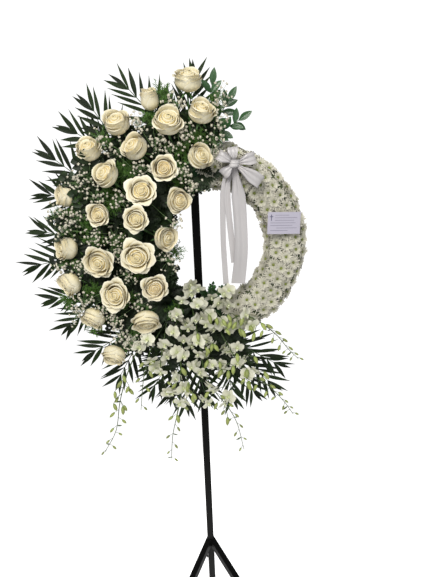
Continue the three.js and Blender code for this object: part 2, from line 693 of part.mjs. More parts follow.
// A cluster of baby's breath: a branch in two stretches, then twigs that end in florets.
function breathCluster(part, [x, z], arc) {
  const angle = THREE.MathUtils.radToDeg(Math.atan2(z - RING.z, x - RING.x));
  const bearing = (angle + 360) % 360;
  for (let attempt = 0; attempt < 60; attempt += 1) {
    const start = THREE.MathUtils.clamp(bearing + between(-9, 9), arc[0] + 1, arc[1] - 1);
    const from = onRing(start, RUNNER_RADIUS, BREATH_Y);
    const share = between(0.35, 0.95);
    const to = point(x + between(-7, 7), between(-142, -112), z + between(-7, 7));
    const elbow = from.clone().lerp(to, share).setY(between(-97, -90));
    if (!isClear(part, from, elbow, 1.4) || !isClear(part, elbow, to, 1.4)) continue;
    const end = bulgeEnd(elbow, to);
    if (!isClear(part, to, end, FLORET)) continue;
    const way = [from, elbow, to.clone().lerp(elbow, 0.3), to, end];
    const solids = [stemThrough(way, [1.9, 1.8, 1.4, FLORET, 0], 3)];
    take(part, from, elbow, 1.4);
    take(part, elbow, to, 1.4);
    for (let i = 0; i < TWIGS; i += 1) {
      for (let tries = 0; tries < 8; tries += 1) {
        const turn = between(0, 2 * Math.PI);
        const reach = between(14, 24);
        const tip = to.clone().add(point(reach * Math.cos(turn), between(-20, 2), reach * Math.sin(turn)));
        const base = to.clone().lerp(elbow, between(0.3, 0.5));
        if (!isClear(part, base, tip, 1) || !isClear(part, tip, tip, FLORET)) continue;
        solids.push(stemThrough([base, base.clone().lerp(tip, 0.72), tip, bulgeEnd(base, tip)],
          [0.5, 0.8, FLORET, 0], 3));
        take(part, base, tip, FLORET);
        break;
      }
    }
    return solids;
  }
  return [];
}

function addBreath(name, { arc, root, clusters }) {
  const knee = onRing(root, RUNNER_RADIUS, BREATH_Y);
  const solids = [runner(name, arc, BREATH_Y, 1.8)];
  solids.push(rootedStem(name, knee.clone().setY(BREATH_Y - 1.5), knee, onRing(root, 198, TOE_Y), 1.6));
  for (const place of clusters) solids.push(...breathCluster(name, place, arc));
  addPart(name, fuse(solids), 'breath');
}

function nearestOn(stems, target) {
  let best = null;
  for (const stem of stems) {
    for (let i = 0; i + 1 < stem.length; i += 1) {
      for (let share = 0.05; share < 1; share += 0.1) {
        const place = stem[i].clone().lerp(stem[i + 1], share);
        if (!best || place.distanceTo(target) < best.distanceTo(target)) best = place;
      }
    }
  }
  return best;
}

function addBloom(part, solids, stems, [x, z], depth) {
  for (let attempt = 0; attempt < 60; attempt += 1) {
    const slack = Math.min(attempt, 20);
    const shift = attempt % 2 ? -1 : 1;
    const across = between(-0.4, 0.4) * slack;
    const centre = point(x + across, depth + shift * slack * 0.8, z + between(-0.4, 0.4) * slack);
    const face = point(between(-0.35, 0.35), -1, between(-0.4, 0.2)).normalize();
    const roll = point(between(-0.3, 0.3), 0, 1);
    const up = roll.clone().addScaledVector(face, -roll.dot(face)).normalize();
    const side = new THREE.Vector3().crossVectors(up, face);
    const tips = [0, 1, 2, 3, 4].map((k) => centre.clone()
      .addScaledVector(up, ORCHID_RADIUS * Math.cos(k * 0.4 * Math.PI))
      .addScaledVector(side, ORCHID_RADIUS * Math.sin(k * 0.4 * Math.PI)));
    const foot = nearestOn(stems, centre.clone().add(point(0, 14, 0)));
    const free = tips.every((tip) => isClear(part, centre, tip, 5.5));
    if (!free || !isClear(part, foot, centre, 1.6)) continue;
    const flat = star([[0, -2], [ORCHID_RADIUS, 1], [0, 3.5]], 5, 0.36);
    solids.push(solidOf(aim(flat, centre, face, up)), rod(foot, centre, 0.7, 1.3, 3));
    tips.forEach((tip) => take(part, centre, tip, 5.5));
    take(part, foot, centre, 1.6);
    return;
  }
}

function addBuds(part, solids, stem, count) {
  const lengths = stem.slice(1).map((p, i) => p.distanceTo(stem[i]));
  const total = lengths.reduce((sum, value) => sum + value, 0);
  for (let i = 0; i < count; i += 1) {
    let left = total * (0.4 + (0.6 * (i + 0.3)) / count);
    let piece = 0;
    while (left > lengths[piece] && piece < lengths.length - 1) {
      left -= lengths[piece];
      piece += 1;
    }
    const base = stem[piece].clone().lerp(stem[piece + 1], left / lengths[piece]);
    const side = i % 2 ? 1 : -1;
    const along = stem[piece + 1].clone().sub(stem[piece]).normalize();
    const out = along.clone().multiplyScalar(0.5).add(point(side * 0.9, -0.4, 0)).normalize();
    const size = 19 - (9 * i) / count;
    const tip = base.clone().addScaledVector(out, size + 4);
    if (!isClear(part, base, tip, 4.5)) continue;
    solids.push(solidOf(aim(lens(size + 4, size * 0.48, size * 0.44, 0.62), base, out, point(0, 1, 0))));
    take(part, base, tip, 4.5);
  }
}

function addOrchids(name, { root, stems, blooms, depth }) {
  const knee = onRing(root[0], root[1], KNEE_Y - 4);
  const neck = knee.clone().add(point(0, -6, 0));
  const start = knee.clone().add(point(0, -4, 0));
  const solids = [rootedStem(name, neck, knee, onRing(root[0], root[1], TOE_Y), 3)];
  const paths = stems.map(({ points }) => [start, ...points.map((place) => point(...place))]);
  paths.forEach((path, k) => {
    solids.push(stemThrough(path, path.map((unused, i) => 2.6 - i / path.length), 3));
    for (let i = 0; i + 1 < path.length; i += 1) take(name, path[i], path[i + 1], 2.5);
    addBuds(name, solids, path, stems[k].buds);
  });
  for (const place of blooms) addBloom(name, solids, paths, place, depth);
  addPart(name, fuse(solids), 'orchid');
}

function addSprig(name, { root, leaf, tips }) {
  const [angle, radius, y] = root;
  const into = radius > RUNNER_RADIUS ? -14 : 14;
  const out = radius > RUNNER_RADIUS ? 9 : -9;
  const knee = onRing(angle, radius + out, y - 2);
  const toe = onRing(angle, radius + into, y + 4);
  const solids = [rootedStem(name, knee.clone().add(point(0, -2, 0)), knee, toe, 2.2)];
  for (const place of tips) {
    const tip = point(...place);
    solids.push(rod(knee, tip, 1.6, 1, 3));
    take(name, knee, tip, 1.6);
    const along = tip.clone().sub(knee).normalize();
    const across = new THREE.Vector3().crossVectors(along, point(0, 1, 0)).normalize();
    const count = Math.max(2, Math.round(tip.distanceTo(knee) / (leaf[1] * 2.4)));
    for (let i = 0; i < count; i += 1) {
      const base = knee.clone().lerp(tip, 0.35 + (0.6 * i) / count);
      const side = i % 2 ? 1 : -1;
      const dir = along.clone().addScaledVector(across, side * 0.9).add(point(0, -0.3, 0)).normalize();
      const end = base.clone().addScaledVector(dir, leaf[0]);
      if (!isClear(name, base, end, leaf[1] / 2.4)) continue;
      solids.push(solidOf(aim(lens(leaf[0], leaf[1], 1.8), base, dir, point(0, 1, 0.3))));
      take(name, base, end, leaf[1] / 2.4);
    }
    const bud = lens(leaf[0], leaf[1], 1.8);
    solids.push(solidOf(aim(bud, tip.clone().addScaledVector(along, -3), along, point(0, 1, 0))));
    take(name, tip, tip.clone().addScaledVector(along, leaf[0]), leaf[1] / 2.4);
  }
  addPart(name, fuse(solids), 'leather');
}

// Part of a ring between two angles, cut by a wedge-shaped block.
function sectorOf(ring, [from, to]) {
  const shape = new THREE.Shape();
  shape.moveTo(0, 0);
  for (let i = 0; i <= 6; i += 1) {
    const angle = radians(from + ((to - from) * i) / 6);
    shape.lineTo(400 * Math.cos(angle), 400 * Math.sin(angle));
  }
  const geometry = new THREE.ExtrudeGeometry(shape, { depth: 200, bevelEnabled: false });
  const matrix = new THREE.Matrix4().makeBasis(point(1, 0, 0), point(0, 0, 1), point(0, -1, 0));
  const wedge = solidOf(geometry.applyMatrix4(matrix).translate(RING.x, 50, RING.z));
  return ring.intersect(wedge);
}

function addDaisies(name, arc) {
  const outside = foamSection(GAP + DAISY_CORE, TRAY_LIP - 1);
  const inside = foamSection(GAP + 0.1, TRAY_LIP - 1);
  const core = sectorOf(ringOf([...outside, ...inside.reverse()]), arc);
  const solids = [core];
  DAISY_ROWS.forEach(([radius, y, outward, forward], row) => {
    const count = Math.round((radius * radians(arc[1] - arc[0])) / DAISY_PITCH);
    for (let i = 0; i < count; i += 1) {
      const angle = arc[0] + ((arc[1] - arc[0]) * (i + 0.5 + (row % 2 ? 0.12 : -0.12))) / count;
      const away = onRing(angle, outward, 0).sub(onRing(angle, 0, 0)).setY(forward).normalize();
      const tilt = point(between(-0.15, 0.15), 0, between(-0.15, 0.15));
      const face = away.clone().add(tilt).normalize();
      const centre = onRing(angle, facetRadius(angle, radius), y).addScaledVector(away, DAISY_RISE);
      const rows = [[0, -DAISY_RISE - DAISY_CORE / 2], [DAISY_RADIUS, 0], [0, 4.5]];
      const flat = star(rows, DAISY_PETALS, 0.62);
      const roll = point(Math.cos(between(0, 6)), 0.3, Math.sin(between(0, 6)));
      solids.push(solidOf(aim(flat, centre, face, roll)));
    }
  });
  const body = wasm.Manifold.union(solids).subtract(wasm.Manifold.union(sockets));
  addPart(name, fuse([body]), 'daisy');
}

// A ribbon loop that leaves the knot in one direction of the front plane.
function bowLoop(angle, length, width, depth) {
  const oval = (grow) => Array.from({ length: 8 }, (unused, i) => {
    const turn = (i / 8) * 2 * Math.PI;
    const x = length / 2 + (length / 2 - grow) * Math.cos(turn);
    return new THREE.Vector2(x, (depth / 2 - grow) * Math.sin(turn));
  });
  const shape = new THREE.Shape(oval(0));
  shape.holes.push(new THREE.Path(oval(RIBBON)));
  const geometry = new THREE.ExtrudeGeometry(shape, { depth: width, bevelEnabled: false });
  geometry.translate(BOW_START, 0, -width / 2);
  const place = geometry.attributes.position;
  for (let i = 0; i < place.count; i += 1) {
    const spread = 0.1 + 0.9 * Math.min((place.getX(i) - BOW_START) / (0.6 * length), 1);
    place.setZ(i, place.getZ(i) * spread);
  }
  const turn = radians(angle);
  const along = point(Math.cos(turn), 0, Math.sin(turn));
  const depthwise = point(0, 1, 0);
  const across = new THREE.Vector3().crossVectors(along, depthwise);
  const matrix = new THREE.Matrix4().makeBasis(along, depthwise, across);
  return solidOf(geometry.applyMatrix4(matrix).translate(BOW.x, BOW.y, BOW.z));
}

// A ribbon tail through hand-set points, facing the viewer.
function bowTail(points, width) {
  const steps = points.length - 1;
  const geometry = new THREE.BoxGeometry(width, RIBBON, steps, 1, 1, steps);
  const place = geometry.attributes.position;
  for (let i = 0; i < place.count; i += 1) {
    const row = Math.round(place.getZ(i) + steps / 2);
    const [x, y, z] = points[row];
    const pinch = row === steps ? 0.45 : 1;
    place.setXYZ(i, x + place.getX(i) * pinch, y + place.getY(i), z);
  }
  return solidOf(geometry);
}

function addBow() {
  const knot = solidOf(new THREE.SphereGeometry(13, 6, 4).scale(1, 0.85, 1).translate(BOW.x, BOW.y, BOW.z));
  const front = point(BOW.x, BOW.y, BOW.z);
  const back = point(BOW.x, TOE_Y, BOW.z);
  addSocket(front.clone().setY(-100), back, 1.6);
  const solids = [
    knot, rod(front, back, 1.6),
    ...BOW_LOOPS.map((loop) => bowLoop(...loop)),
    ...BOW_TAILS.map(({ points, width }) => bowTail(points, width)),
  ];
  addPart('bow', fuse(solids), 'ribbon');
}

function addCard() {
  const { width, height, thickness, x, y, z } = CARD;
  const sheet = new THREE.BoxGeometry(width, thickness, height).rotateY(radians(2)).translate(x, y, z);
  addPart('card', solidOf(sheet), 'card');
  const plate = y + thickness / 2 + GAP;
  const low = z - 12;
  addSocket(point(x, plate + 6, low), point(x, TOE_Y, low), 1.8);
  const grip = blockFrom(point(x - 9, plate, low - 9), point(x + 9, plate + 2, low + 12));
  addPart('card_pick', fuse([grip, rod(point(x, plate + 1, low), point(x, TOE_Y, low), 1.8)]), 'plastic');
}

addEasel();
addHook();
addTray();
ROSES.forEach((rose, i) => addRose(`rose_${String(i + 1).padStart(2, '0')}`, rose));
for (const [name, spray] of Object.entries(ORCHIDS)) addOrchids(name, spray);
for (const [name, sprig] of Object.entries(SPRIGS)) addSprig(name, sprig);
for (const [name, spray] of Object.entries(BREATH)) addBreath(name, spray);
for (const [name, fern] of Object.entries(FERNS)) addFern(name, fern);
for (const [name, [rootAngle, fronds]] of Object.entries(PALMS)) addPalm(name, rootAngle, fronds);
addBow();
addCard();
for (const [name, arc] of Object.entries(DAISY_ARCS)) addDaisies(name, arc);
const foam = ringOf(foamSection(0, FOAM.back));
addPart('foam_ring', fuse([foam.subtract(wasm.Manifold.union(sockets))]), 'foam');

export default wreath;
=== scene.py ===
# Funeral wreath on a steel easel, dressed in Blender round its CAD frame.
# Tables and shapes are in millimetres, and meshes are written in metres.
import math

import bpy
import numpy as np
from mathutils import Matrix, Vector

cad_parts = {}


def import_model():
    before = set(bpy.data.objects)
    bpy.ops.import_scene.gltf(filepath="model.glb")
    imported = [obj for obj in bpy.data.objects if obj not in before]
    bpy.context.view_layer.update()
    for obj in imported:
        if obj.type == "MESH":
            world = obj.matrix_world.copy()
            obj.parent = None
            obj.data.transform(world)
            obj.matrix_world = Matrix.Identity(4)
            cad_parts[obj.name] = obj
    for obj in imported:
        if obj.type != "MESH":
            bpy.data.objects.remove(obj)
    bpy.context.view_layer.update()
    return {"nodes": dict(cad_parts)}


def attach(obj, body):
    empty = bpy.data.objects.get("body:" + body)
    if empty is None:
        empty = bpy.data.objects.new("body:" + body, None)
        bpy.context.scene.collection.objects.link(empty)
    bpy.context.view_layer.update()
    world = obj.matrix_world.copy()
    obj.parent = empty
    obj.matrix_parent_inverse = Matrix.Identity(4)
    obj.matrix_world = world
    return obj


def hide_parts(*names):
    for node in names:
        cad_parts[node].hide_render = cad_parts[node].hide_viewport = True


SEED = 2026
MM = 0.001

# Camera
CAMERA_AT = (-39.88, -1213.53, 1597.61)
CAMERA_FORWARD = (0.07138, 0.94927, -0.30625)
CAMERA_RIGHT = (0.99585, -0.08519, -0.03196)
CAMERA_LENS = 27.2
CAMERA_SENSOR = 36.0

# Ring of foam
RING_X = 30
RING_Z = 1345
FOAM_OUTER = 254
FOAM_FRONT = -72
RUNNER_RADIUS = 212
TOE_Y = -58
KNEE_Y = -80

# Roses: head centre, head radius, lean to the right and up in degrees, height factor, where the
# stem enters the foam (angle and radius), openness from 0 to 1 and warmth of the colour, which
# also deepens the painted shade in the heart's folds.
ROSES = [
    ((-6, -120, 1750), 32, 10, 60, 1.05, (98, 238), 0.3, 0.3),
    ((-97, -112, 1711), 22, -5, 65, 1.5, (111, 238), 0.05, 0.5),
    ((-58, -135, 1661), 33, 5, 35, 1.05, (106, 238), 0.35, 0.2),
    ((21, -125, 1681), 31, 15, 45, 1.05, (90, 238), 0.3, 0.4),
    ((-177, -118, 1662), 31, -10, 45, 1.05, (127, 238), 0.25, 0.4),
    ((-248, -115, 1605), 30, -10, 45, 1.05, (136, 238), 0.25, 0.4),
    ((-139, -135, 1606), 31, -35, 35, 1.0, (119, 238), 0.3, 0.5),
    ((-212, -138, 1547), 31, -30, 30, 1.0, (144, 238), 0.35, 0.4),
    ((-320, -108, 1499), 27, -60, 10, 1.1, (153, 238), 0.2, 0.6),
    ((-74, -140, 1556), 27, 0, 10, 0.9, (115, 222), 0.6, 0.9),
    ((-130, -152, 1507), 29, 0, 15, 0.85, (132, 222), 0.95, 0.5),
    ((13, -128, 1580), 30, 30, 20, 1.0, (94, 222), 0.35, 0.4),
    ((-44, -138, 1479), 29, 25, 5, 1.0, (120, 190), 0.4, 0.7),
    ((-237, -145, 1455), 25, -10, 5, 1.0, (161, 238), 0.5, 0.6),
    ((-148, -165, 1443), 25, 0, 0, 0.85, (151, 198), 0.95, 0.4),
    ((-81, -135, 1388), 30, 40, 0, 1.0, (160, 190), 0.4, 0.5),
    ((-331, -112, 1371), 29, -50, 10, 1.15, (174, 238), 0.1, 0.4),
    ((-248, -145, 1338), 34, -15, -5, 0.95, (181, 238), 0.6, 0.5),
    ((-153, -165, 1351), 34, 0, 0, 0.8, (178, 190), 1.0, 0.5),
    ((-336, -112, 1279), 32, -55, -15, 1.05, (190, 238), 0.25, 0.5),
    ((-217, -148, 1251), 33, -10, 10, 0.95, (201, 238), 0.7, 0.5),
    ((-117, -150, 1265), 29, 5, 0, 0.9, (208, 192), 0.7, 1.0),
    ((-286, -118, 1181), 31, -35, -35, 1.05, (209, 238), 0.3, 0.5),
    ((-146, -140, 1171), 34, 0, -40, 1.0, (221, 238), 0.5, 0.5),
    ((-244, -120, 1070), 32, -20, -35, 1.0, (228, 238), 0.3, 0.5),
]
ROSE_MIDDLE = 0.85

# Outer petals: count, belly radius, rim radius, rim height, how far the rim rolls out, half the
# petal's angle in degrees and how far its sides drop. Units are head radii.
ROSE_LAYERS = [
    (3, 0.97, 0.90, 1.12, 0.19, 68, 0.48),
    (3, 0.92, 0.82, 1.32, 0.14, 70, 0.36),
    (3, 0.84, 0.72, 1.44, 0.09, 72, 0.20),
]

# The heart is one long petal edge that winds inwards: its outer radius, turns, height at the
# rim and in the middle, how deep the folds between the turns are, and how far it sinks when open.
HEART_RADIUS = 0.56
HEART_TURNS = 4
HEART_EDGE = 1.24
HEART_TOP = 1.44
HEART_FOLD = 0.32
HEART_SINK = 0.16
HEART_COLUMNS = 40

# Across one turn: share of the way out, fold and the mark along. The mark is highest at each turn's rim,
# where the ramp gives a paler edge and a painted highlight, and lowest in the fold, which paints shade into
# it.
HEART_PROFILE = [
    (0, 0, 1.0), (0.16, -0.75, 0.45), (0.32, -1.0, 0.22), (0.65, -0.55, 0.5), (0.88, -0.12, 0.85),
]

# Below the rim: depth and swell. The plug in the middle: radius in pitches and depth under the top.
HEART_SKIRT = [(0, 0), (0.10, 0.05), (0.45, 0.08), (0.9, 0.0)]
HEART_PLUG = [(1.2, 0.14), (0.7, 0.06), (0.3, 0.02), (0, 0.01)]

# Calyx, sepals and stem of a rose. A sepal's length is a share of the head's radius.
OPEN_ROSE = 0.45
SEPAL_LENGTH = 0.62
SEPAL_WIDTH = 6.5
ROSE_STEM = 2.4

# Palm: the angle of the shared root, then each frond's tip angle, tip radius and level.
PALM_ROOT_RADIUS = 262
PALM_FRONT_Y = -58
PALM_LEVEL_STEP = 8
PALM_DROOP = 26
PALM_PAIRS = 7
PALM_RIB = 0.80
PALM_LEAFLET = (8.5, 12.5)
PALM_SPREAD = (54, 34)
PALMS = {
    "palm_top": (102, [(91, 472, 0), (117, 508, 1), (104, 420, 1.6)]),
    "palm_upper_left": (130, [(127, 512, 0), (138, 504, 1), (132, 450, 1.6)]),
    "palm_left_upper": (153, [(147, 522, 2), (161, 500, 3), (154, 430, 2.5)]),
    "palm_left": (178, [(171, 492, 0), (185, 532, 1)]),
    "palm_left_lower": (203, [(196, 518, 2), (209, 524, 3)]),
    "palm_lower_left": (229, [(219, 520, 0), (235, 552, 1), (227, 440, 0.5)]),
    "palm_bottom": (
        254, [(246, 545, 2), (261, 582, 1), (254, 550, 1.6), (269, 545, 1.2), (240, 450, 0.5)],
    ),
    "palm_bottom_right": (
        276, [(277, 560, 0), (294, 552, 1), (286, 555, 0.5), (281, 450, 1.2), (301, 478, 0.3)],
    ),
}

# Foliage between the roses: arc of each node in degrees, and how many leathery fronds fill it.
# Lengths are of fronds at the outer edge, at the inner edge and on the foam's front.
FERNS = {
    "fern_upper": ((95, 163), 170),
    "fern_lower": ((163, 282), 250),
}
FERN_OUTER = (90, 135)
FERN_INNER = (34, 46)
FERN_FRONT = (50, 82)
FERN_LONG_ARC = (150, 190)
FERN_LONGER = 45
LEATHER_PAIRS = 9

# Fluffy plumes: where each one shows, its depth, reach, branches and needles on a branch.
FLUFFY_Y = -104
FLUFFY_RADIUS = 27
FLUFFY_BRANCHES = 34
FLUFFY_NEEDLES = 22
FLUFFY = {
    "fern_upper": [
        (-68, 1721), (-214, 1625), (-102, 1677), (-281, 1494), (-211, 1472), (-175, 1543), (-40, 1523),
        (-210, 1504), (9, 1622), (-24, 1594), (-48, 1550), (-275, 1425), (-165, 1565), (50, 1700),
    ],
    "fern_lower": [
        (-304, 1396), (-208, 1381), (-281, 1255), (-193, 1222), (-229, 1072), (-169, 1134), (-287, 1156),
        (-60, 1345), (-255, 1385), (-160, 1300), (-345, 1230), (-70, 1180),
        (-345, 1440), (-318, 1462), (-325, 1330),
    ],
}

# Greenery that leans from the foam's inner edge into the hole, up to a clear distance.
INNER_ARC = (112, 238)
INNER_STEP = 1.5
INNER_CLEAR = 78
INNER_FAR = 140

# Baby's breath: where each cluster shows, its depth, and the reach of its twigs.
BREATH_Y = (-138, -120)
BREATH_REACH = (6, 35)
BREATH = {
    "breath_top": [
        (-37, 1699), (65, 1651), (-16, 1625), (-91, 1614), (-131, 1661), (-171, 1598), (48, 1612),
        (-60, 1600), (58, 1712), (-212, 1622), (-38, 1648),
    ],
    "breath_left": [
        (-128, 1559), (-254, 1545), (-286, 1530), (-241, 1493), (-289, 1447), (-319, 1419),
        (-254, 1396), (-206, 1396), (-184, 1488), (-10, 1510), (-56, 1419), (-30, 1545), (-330, 1462),
    ],
    "breath_low": [
        (-187, 1298), (-206, 1348), (-297, 1325), (-326, 1198), (-229, 1176), (-190, 1110),
        (-160, 1215), (-250, 1205), (-78, 1330), (-340, 1330), (-215, 1128), (-300, 1235),
    ],
}
BREATH_TWIGS = 32
FLORET = 3.5

# Orchids: root on the ring, depth of blooms and large buds, stems with their count of small buds
# and the points that they pass, and the places of blooms and large buds.
ORCHIDS = {
    "orchids_left": {
        "root": (237, 228),
        "depth": -128,
        "stems": [
            (2, (-104, -108, 1110), (-120, -124, 1030), (-108, -118, 955)),
            (6, (-140, -112, 1085), (-168, -118, 1000), (-186, -112, 890)),
            (
                11, (-160, -106, 1105), (-205, -124, 1030), (-240, -120, 930), (-262, -114, 830),
                (-304, -104, 750),
            ),
        ],
        "blooms": [
            (-106, 1098), (-119, 1018), (-108, 958), (-140, 1052), (-98, 1058), (-198, 1108),
            (-170, 1094), (-150, 1122),
        ],
        "buds": [
            (-223, 1017), (-248, 973), (-209, 982), (-232, 924), (-255, 936),
        ],
    },
    "orchids_middle": {
        "root": (246, 226),
        "depth": -142,
        "stems": [
            (
                10, (-58, -112, 1110), (-66, -128, 1010), (-72, -124, 920), (-100, -112, 800),
                (-111, -104, 700),
            ),
            (0, (-62, -112, 1165), (-66, -116, 1190)),
        ],
        "blooms": [
            (-66, 1190), (-37, 1150), (-52, 1108), (-56, 1066), (-82, 1006), (-70, 922), (-74, 1142),
            (-60, 968), (-92, 958), (-34, 1030),
        ],
        "buds": [
            (-63, 1037), (-45, 994), (-35, 950), (-83, 889), (-15, 1137),
        ],
    },
    "orchids_right": {
        "root": (258, 224),
        "depth": -156,
        "stems": [
            (
                11, (-8, -118, 1080), (0, -138, 1010), (30, -132, 940), (66, -122, 880),
                (92, -112, 815), (111, -104, 720),
            ),
            (0, (-22, -112, 1170), (-26, -128, 1230), (-27, -124, 1268)),
        ],
        "blooms": [
            (-50, 1236), (-8, 1223), (-27, 1270), (-10, 1117), (-15, 1072), (-15, 1019), (19, 968),
            (46, 926), (-22, 1180), (6, 1156), (18, 1100), (24, 1046), (-6, 1262), (2, 930),
        ],
        "buds": [
            (16, 1191), (-15, 1143), (12, 1094), (23, 1108), (40, 1054), (64, 1025), (-47, 993),
            (-37, 965), (114, 984), (87, 1077), (26, 1105), (10, 1062), (47, 1029), (58, 883),
            (77, 1039), (4, 1098),
        ],
    },
    "orchids_far_right": {
        "root": (274, 226),
        "depth": -132,
        "stems": [
            (
                12, (62, -112, 1140), (110, -128, 1168), (160, -130, 1142), (205, -122, 1100),
                (240, -114, 1052), (272, -106, 1015),
            ),
            (
                12, (66, -108, 1080), (112, -122, 1000), (176, -118, 948), (228, -110, 885),
                (262, -104, 830),
            ),
            (0, (36, -108, 1170), (27, -118, 1222)),
        ],
        "blooms": [
            (27, 1226), (25, 1180), (77, 1206), (119, 1172), (58, 1066), (120, 992), (52, 1150),
            (86, 1140), (58, 1240), (92, 1080), (96, 1030), (46, 1010), (136, 1142),
        ],
        "buds": [
            (68, 1177), (91, 1155), (126, 1145), (156, 1151), (102, 1135), (119, 1011), (52, 1167),
            (139, 1123), (117, 1016), (122, 980), (138, 1049), (164, 1003), (36, 1173), (78, 1159),
            (108, 1171), (62, 1137), (126, 1145), (99, 1135),
        ],
    },
}
ORCHID_RADIUS = 23
BUD_SHAPE = [(0.02, 0), (0.15, 0.14), (0.22, 0.42), (0.18, 0.75), (0.02, 1)]
BUD_SIZE = (21, 29)
BUD_FIRST = 23
BUD_SHRINK = 12
BUDS_FROM = 0.42

# Leafy sprigs: the root's angle, radius and depth, the leaf's size, each twig's tip and its leaves.
SPRIGS = {
    "sprig_top": ((91, 250, -64), (38, 17), [(50, -90, 1740), (88, -88, 1704), (112, -94, 1660)], 9),
    "sprig_low": ((268, 168, -52), (15, 8), [(2, -98, 1240), (34, -102, 1250), (66, -100, 1242)], 20),
}

# Daisies: rows of radius, depth and the way they face (outwards, forwards). A whorl is a count of
# petals, their reach and their lift.
DAISY_ARCS = {"daisies_upper": (10, 94), "daisies_lower": (-78, 10)}
DAISY_ROWS = [
    (163, -34, -1.0, 0.1), (164, -58, -0.9, 0.6), (182, -78, -0.3, 1.0), (207, -82, 0.0, 1.0),
    (232, -81, 0.2, 1.0), (254, -70, 0.7, 0.8), (262, -46, 1.0, 0.3), (262, -30, 1.0, 0.0),
]
DAISY_PITCH = 31
DAISY_RADIUS = 21
DAISY_WHORLS = [(19, 1.0, 0.12), (16, 0.72, 0.5)]
DAISY_EYE = [(4.4, 0.5), (4.0, 2.6), (2.4, 3.8), (0.4, 4.2)]

# A dark green sheet behind the daisies, painted shade for the gaps between them: its section in radius and
# depth.
SHADE_SHEET = [(165, -31), (165, -60), (174, -75), (250, -75), (259, -60), (259, -31)]
SHADE_SHEET_STEPS = 40

# Ribbon: loops are angle, length, width and depth; tails are a width and their middle line.
# A pinch gives the share of the full width that shows at shares of the strip's length.
BOW_AT = (96, -118, 1561)
BOW_START = 6
BOW_PLEATS = 2.5
PLEAT_DEPTH = 0.32
RIBBON_CURL = 0.035
RIBBON_COLUMNS = 17
KNOT_WIDTH = 20
KNOT_REACH = (12, 9)
LOOP_PINCH = ([0, 0.12, 0.3, 0.7, 0.88, 1], [0.2, 0.42, 0.95, 0.95, 0.42, 0.2])
TAIL_PINCH = ([0, 0.75, 0.9, 1], [1, 0.97, 0.5, 0.3])
TAIL_POINTS = 40
TAIL_SWAY = 1.6
WIRE_RADIUS = 1.4
BOW_LOOPS = [
    (150, 40, 28, 22), (97, 33, 26, 20), (14, 48, 30, 20), (-36, 76, 34, 24), (222, 34, 26, 20),
]
BOW_TAILS = [
    (15, [(70, -99, 1249), (66, -98, 1380), (70, -102, 1512), (86, -104, 1537), (93, -112, 1557)]),
    (16, [(93, -101, 1308), (79, -102, 1484), (91, -104, 1537), (95, -112, 1557)]),
    (
        38,
        [
            (103, -99, 1249), (112, -103, 1340), (110, -101, 1440), (104, -105, 1506),
            (100, -106, 1537), (98, -113, 1557),
        ],
    ),
]

# Card: place, size, turn in degrees, how far it bows, and what is printed on it, from its middle.
CARD_AT = (224, -108, 1408)
CARD_SIZE = (86, 57)
CARD_TURN = 2
CARD_BOW = 1.6
PRINT_LIFT = 0.12
CROSS_BARS = [(-34.5, -32.5, 6, 22), (-38, -29, 15.5, 17.5)]
RULED_LINES = [(-24, 12), (-24, 34), (-24, 26), (-36, 30), (-36, 22), (-20, 34), (-36, 10)]
LINE_TOP = 20
LINE_PITCH = 6.6
LINE_HEIGHT = 0.8

# Stage: strength of the world's light on the object and of the white behind it, and the floor.
AMBIENT = 0.33
BACKDROP = 1.1
FLOOR_RADIUS = 0.8
FLOOR_GLOW = 0.9
FLOOR_SIDES = 64

# Lights: name, place, target, size, power and colour, in metres and watts.
LIGHTS = [
    ("key", (-0.8, -2.3, 3.1), (-0.05, -0.1, 1.35), 1.3, 74, (1, 0.98, 0.94)),
    ("fill", (1.6, -2.6, 1.5), (0, -0.1, 1.3), 2.0, 18, (0.96, 0.98, 1)),
    ("back", (0.9, 2.6, 2.2), (0, 0, 1.2), 2.0, 40, (1, 1, 1)),
]

# CAD nodes that stay, by their finish.
FINISHES = {
    "steel": ["pole", "leg_front_left", "leg_front_right", "leg_rear", "hook"],
    "rubber": ["foot_pole", "foot_front_left", "foot_front_right", "foot_rear"],
    "plastic": ["tray", "card_pick"],
    "foam": ["foam_ring"],
}

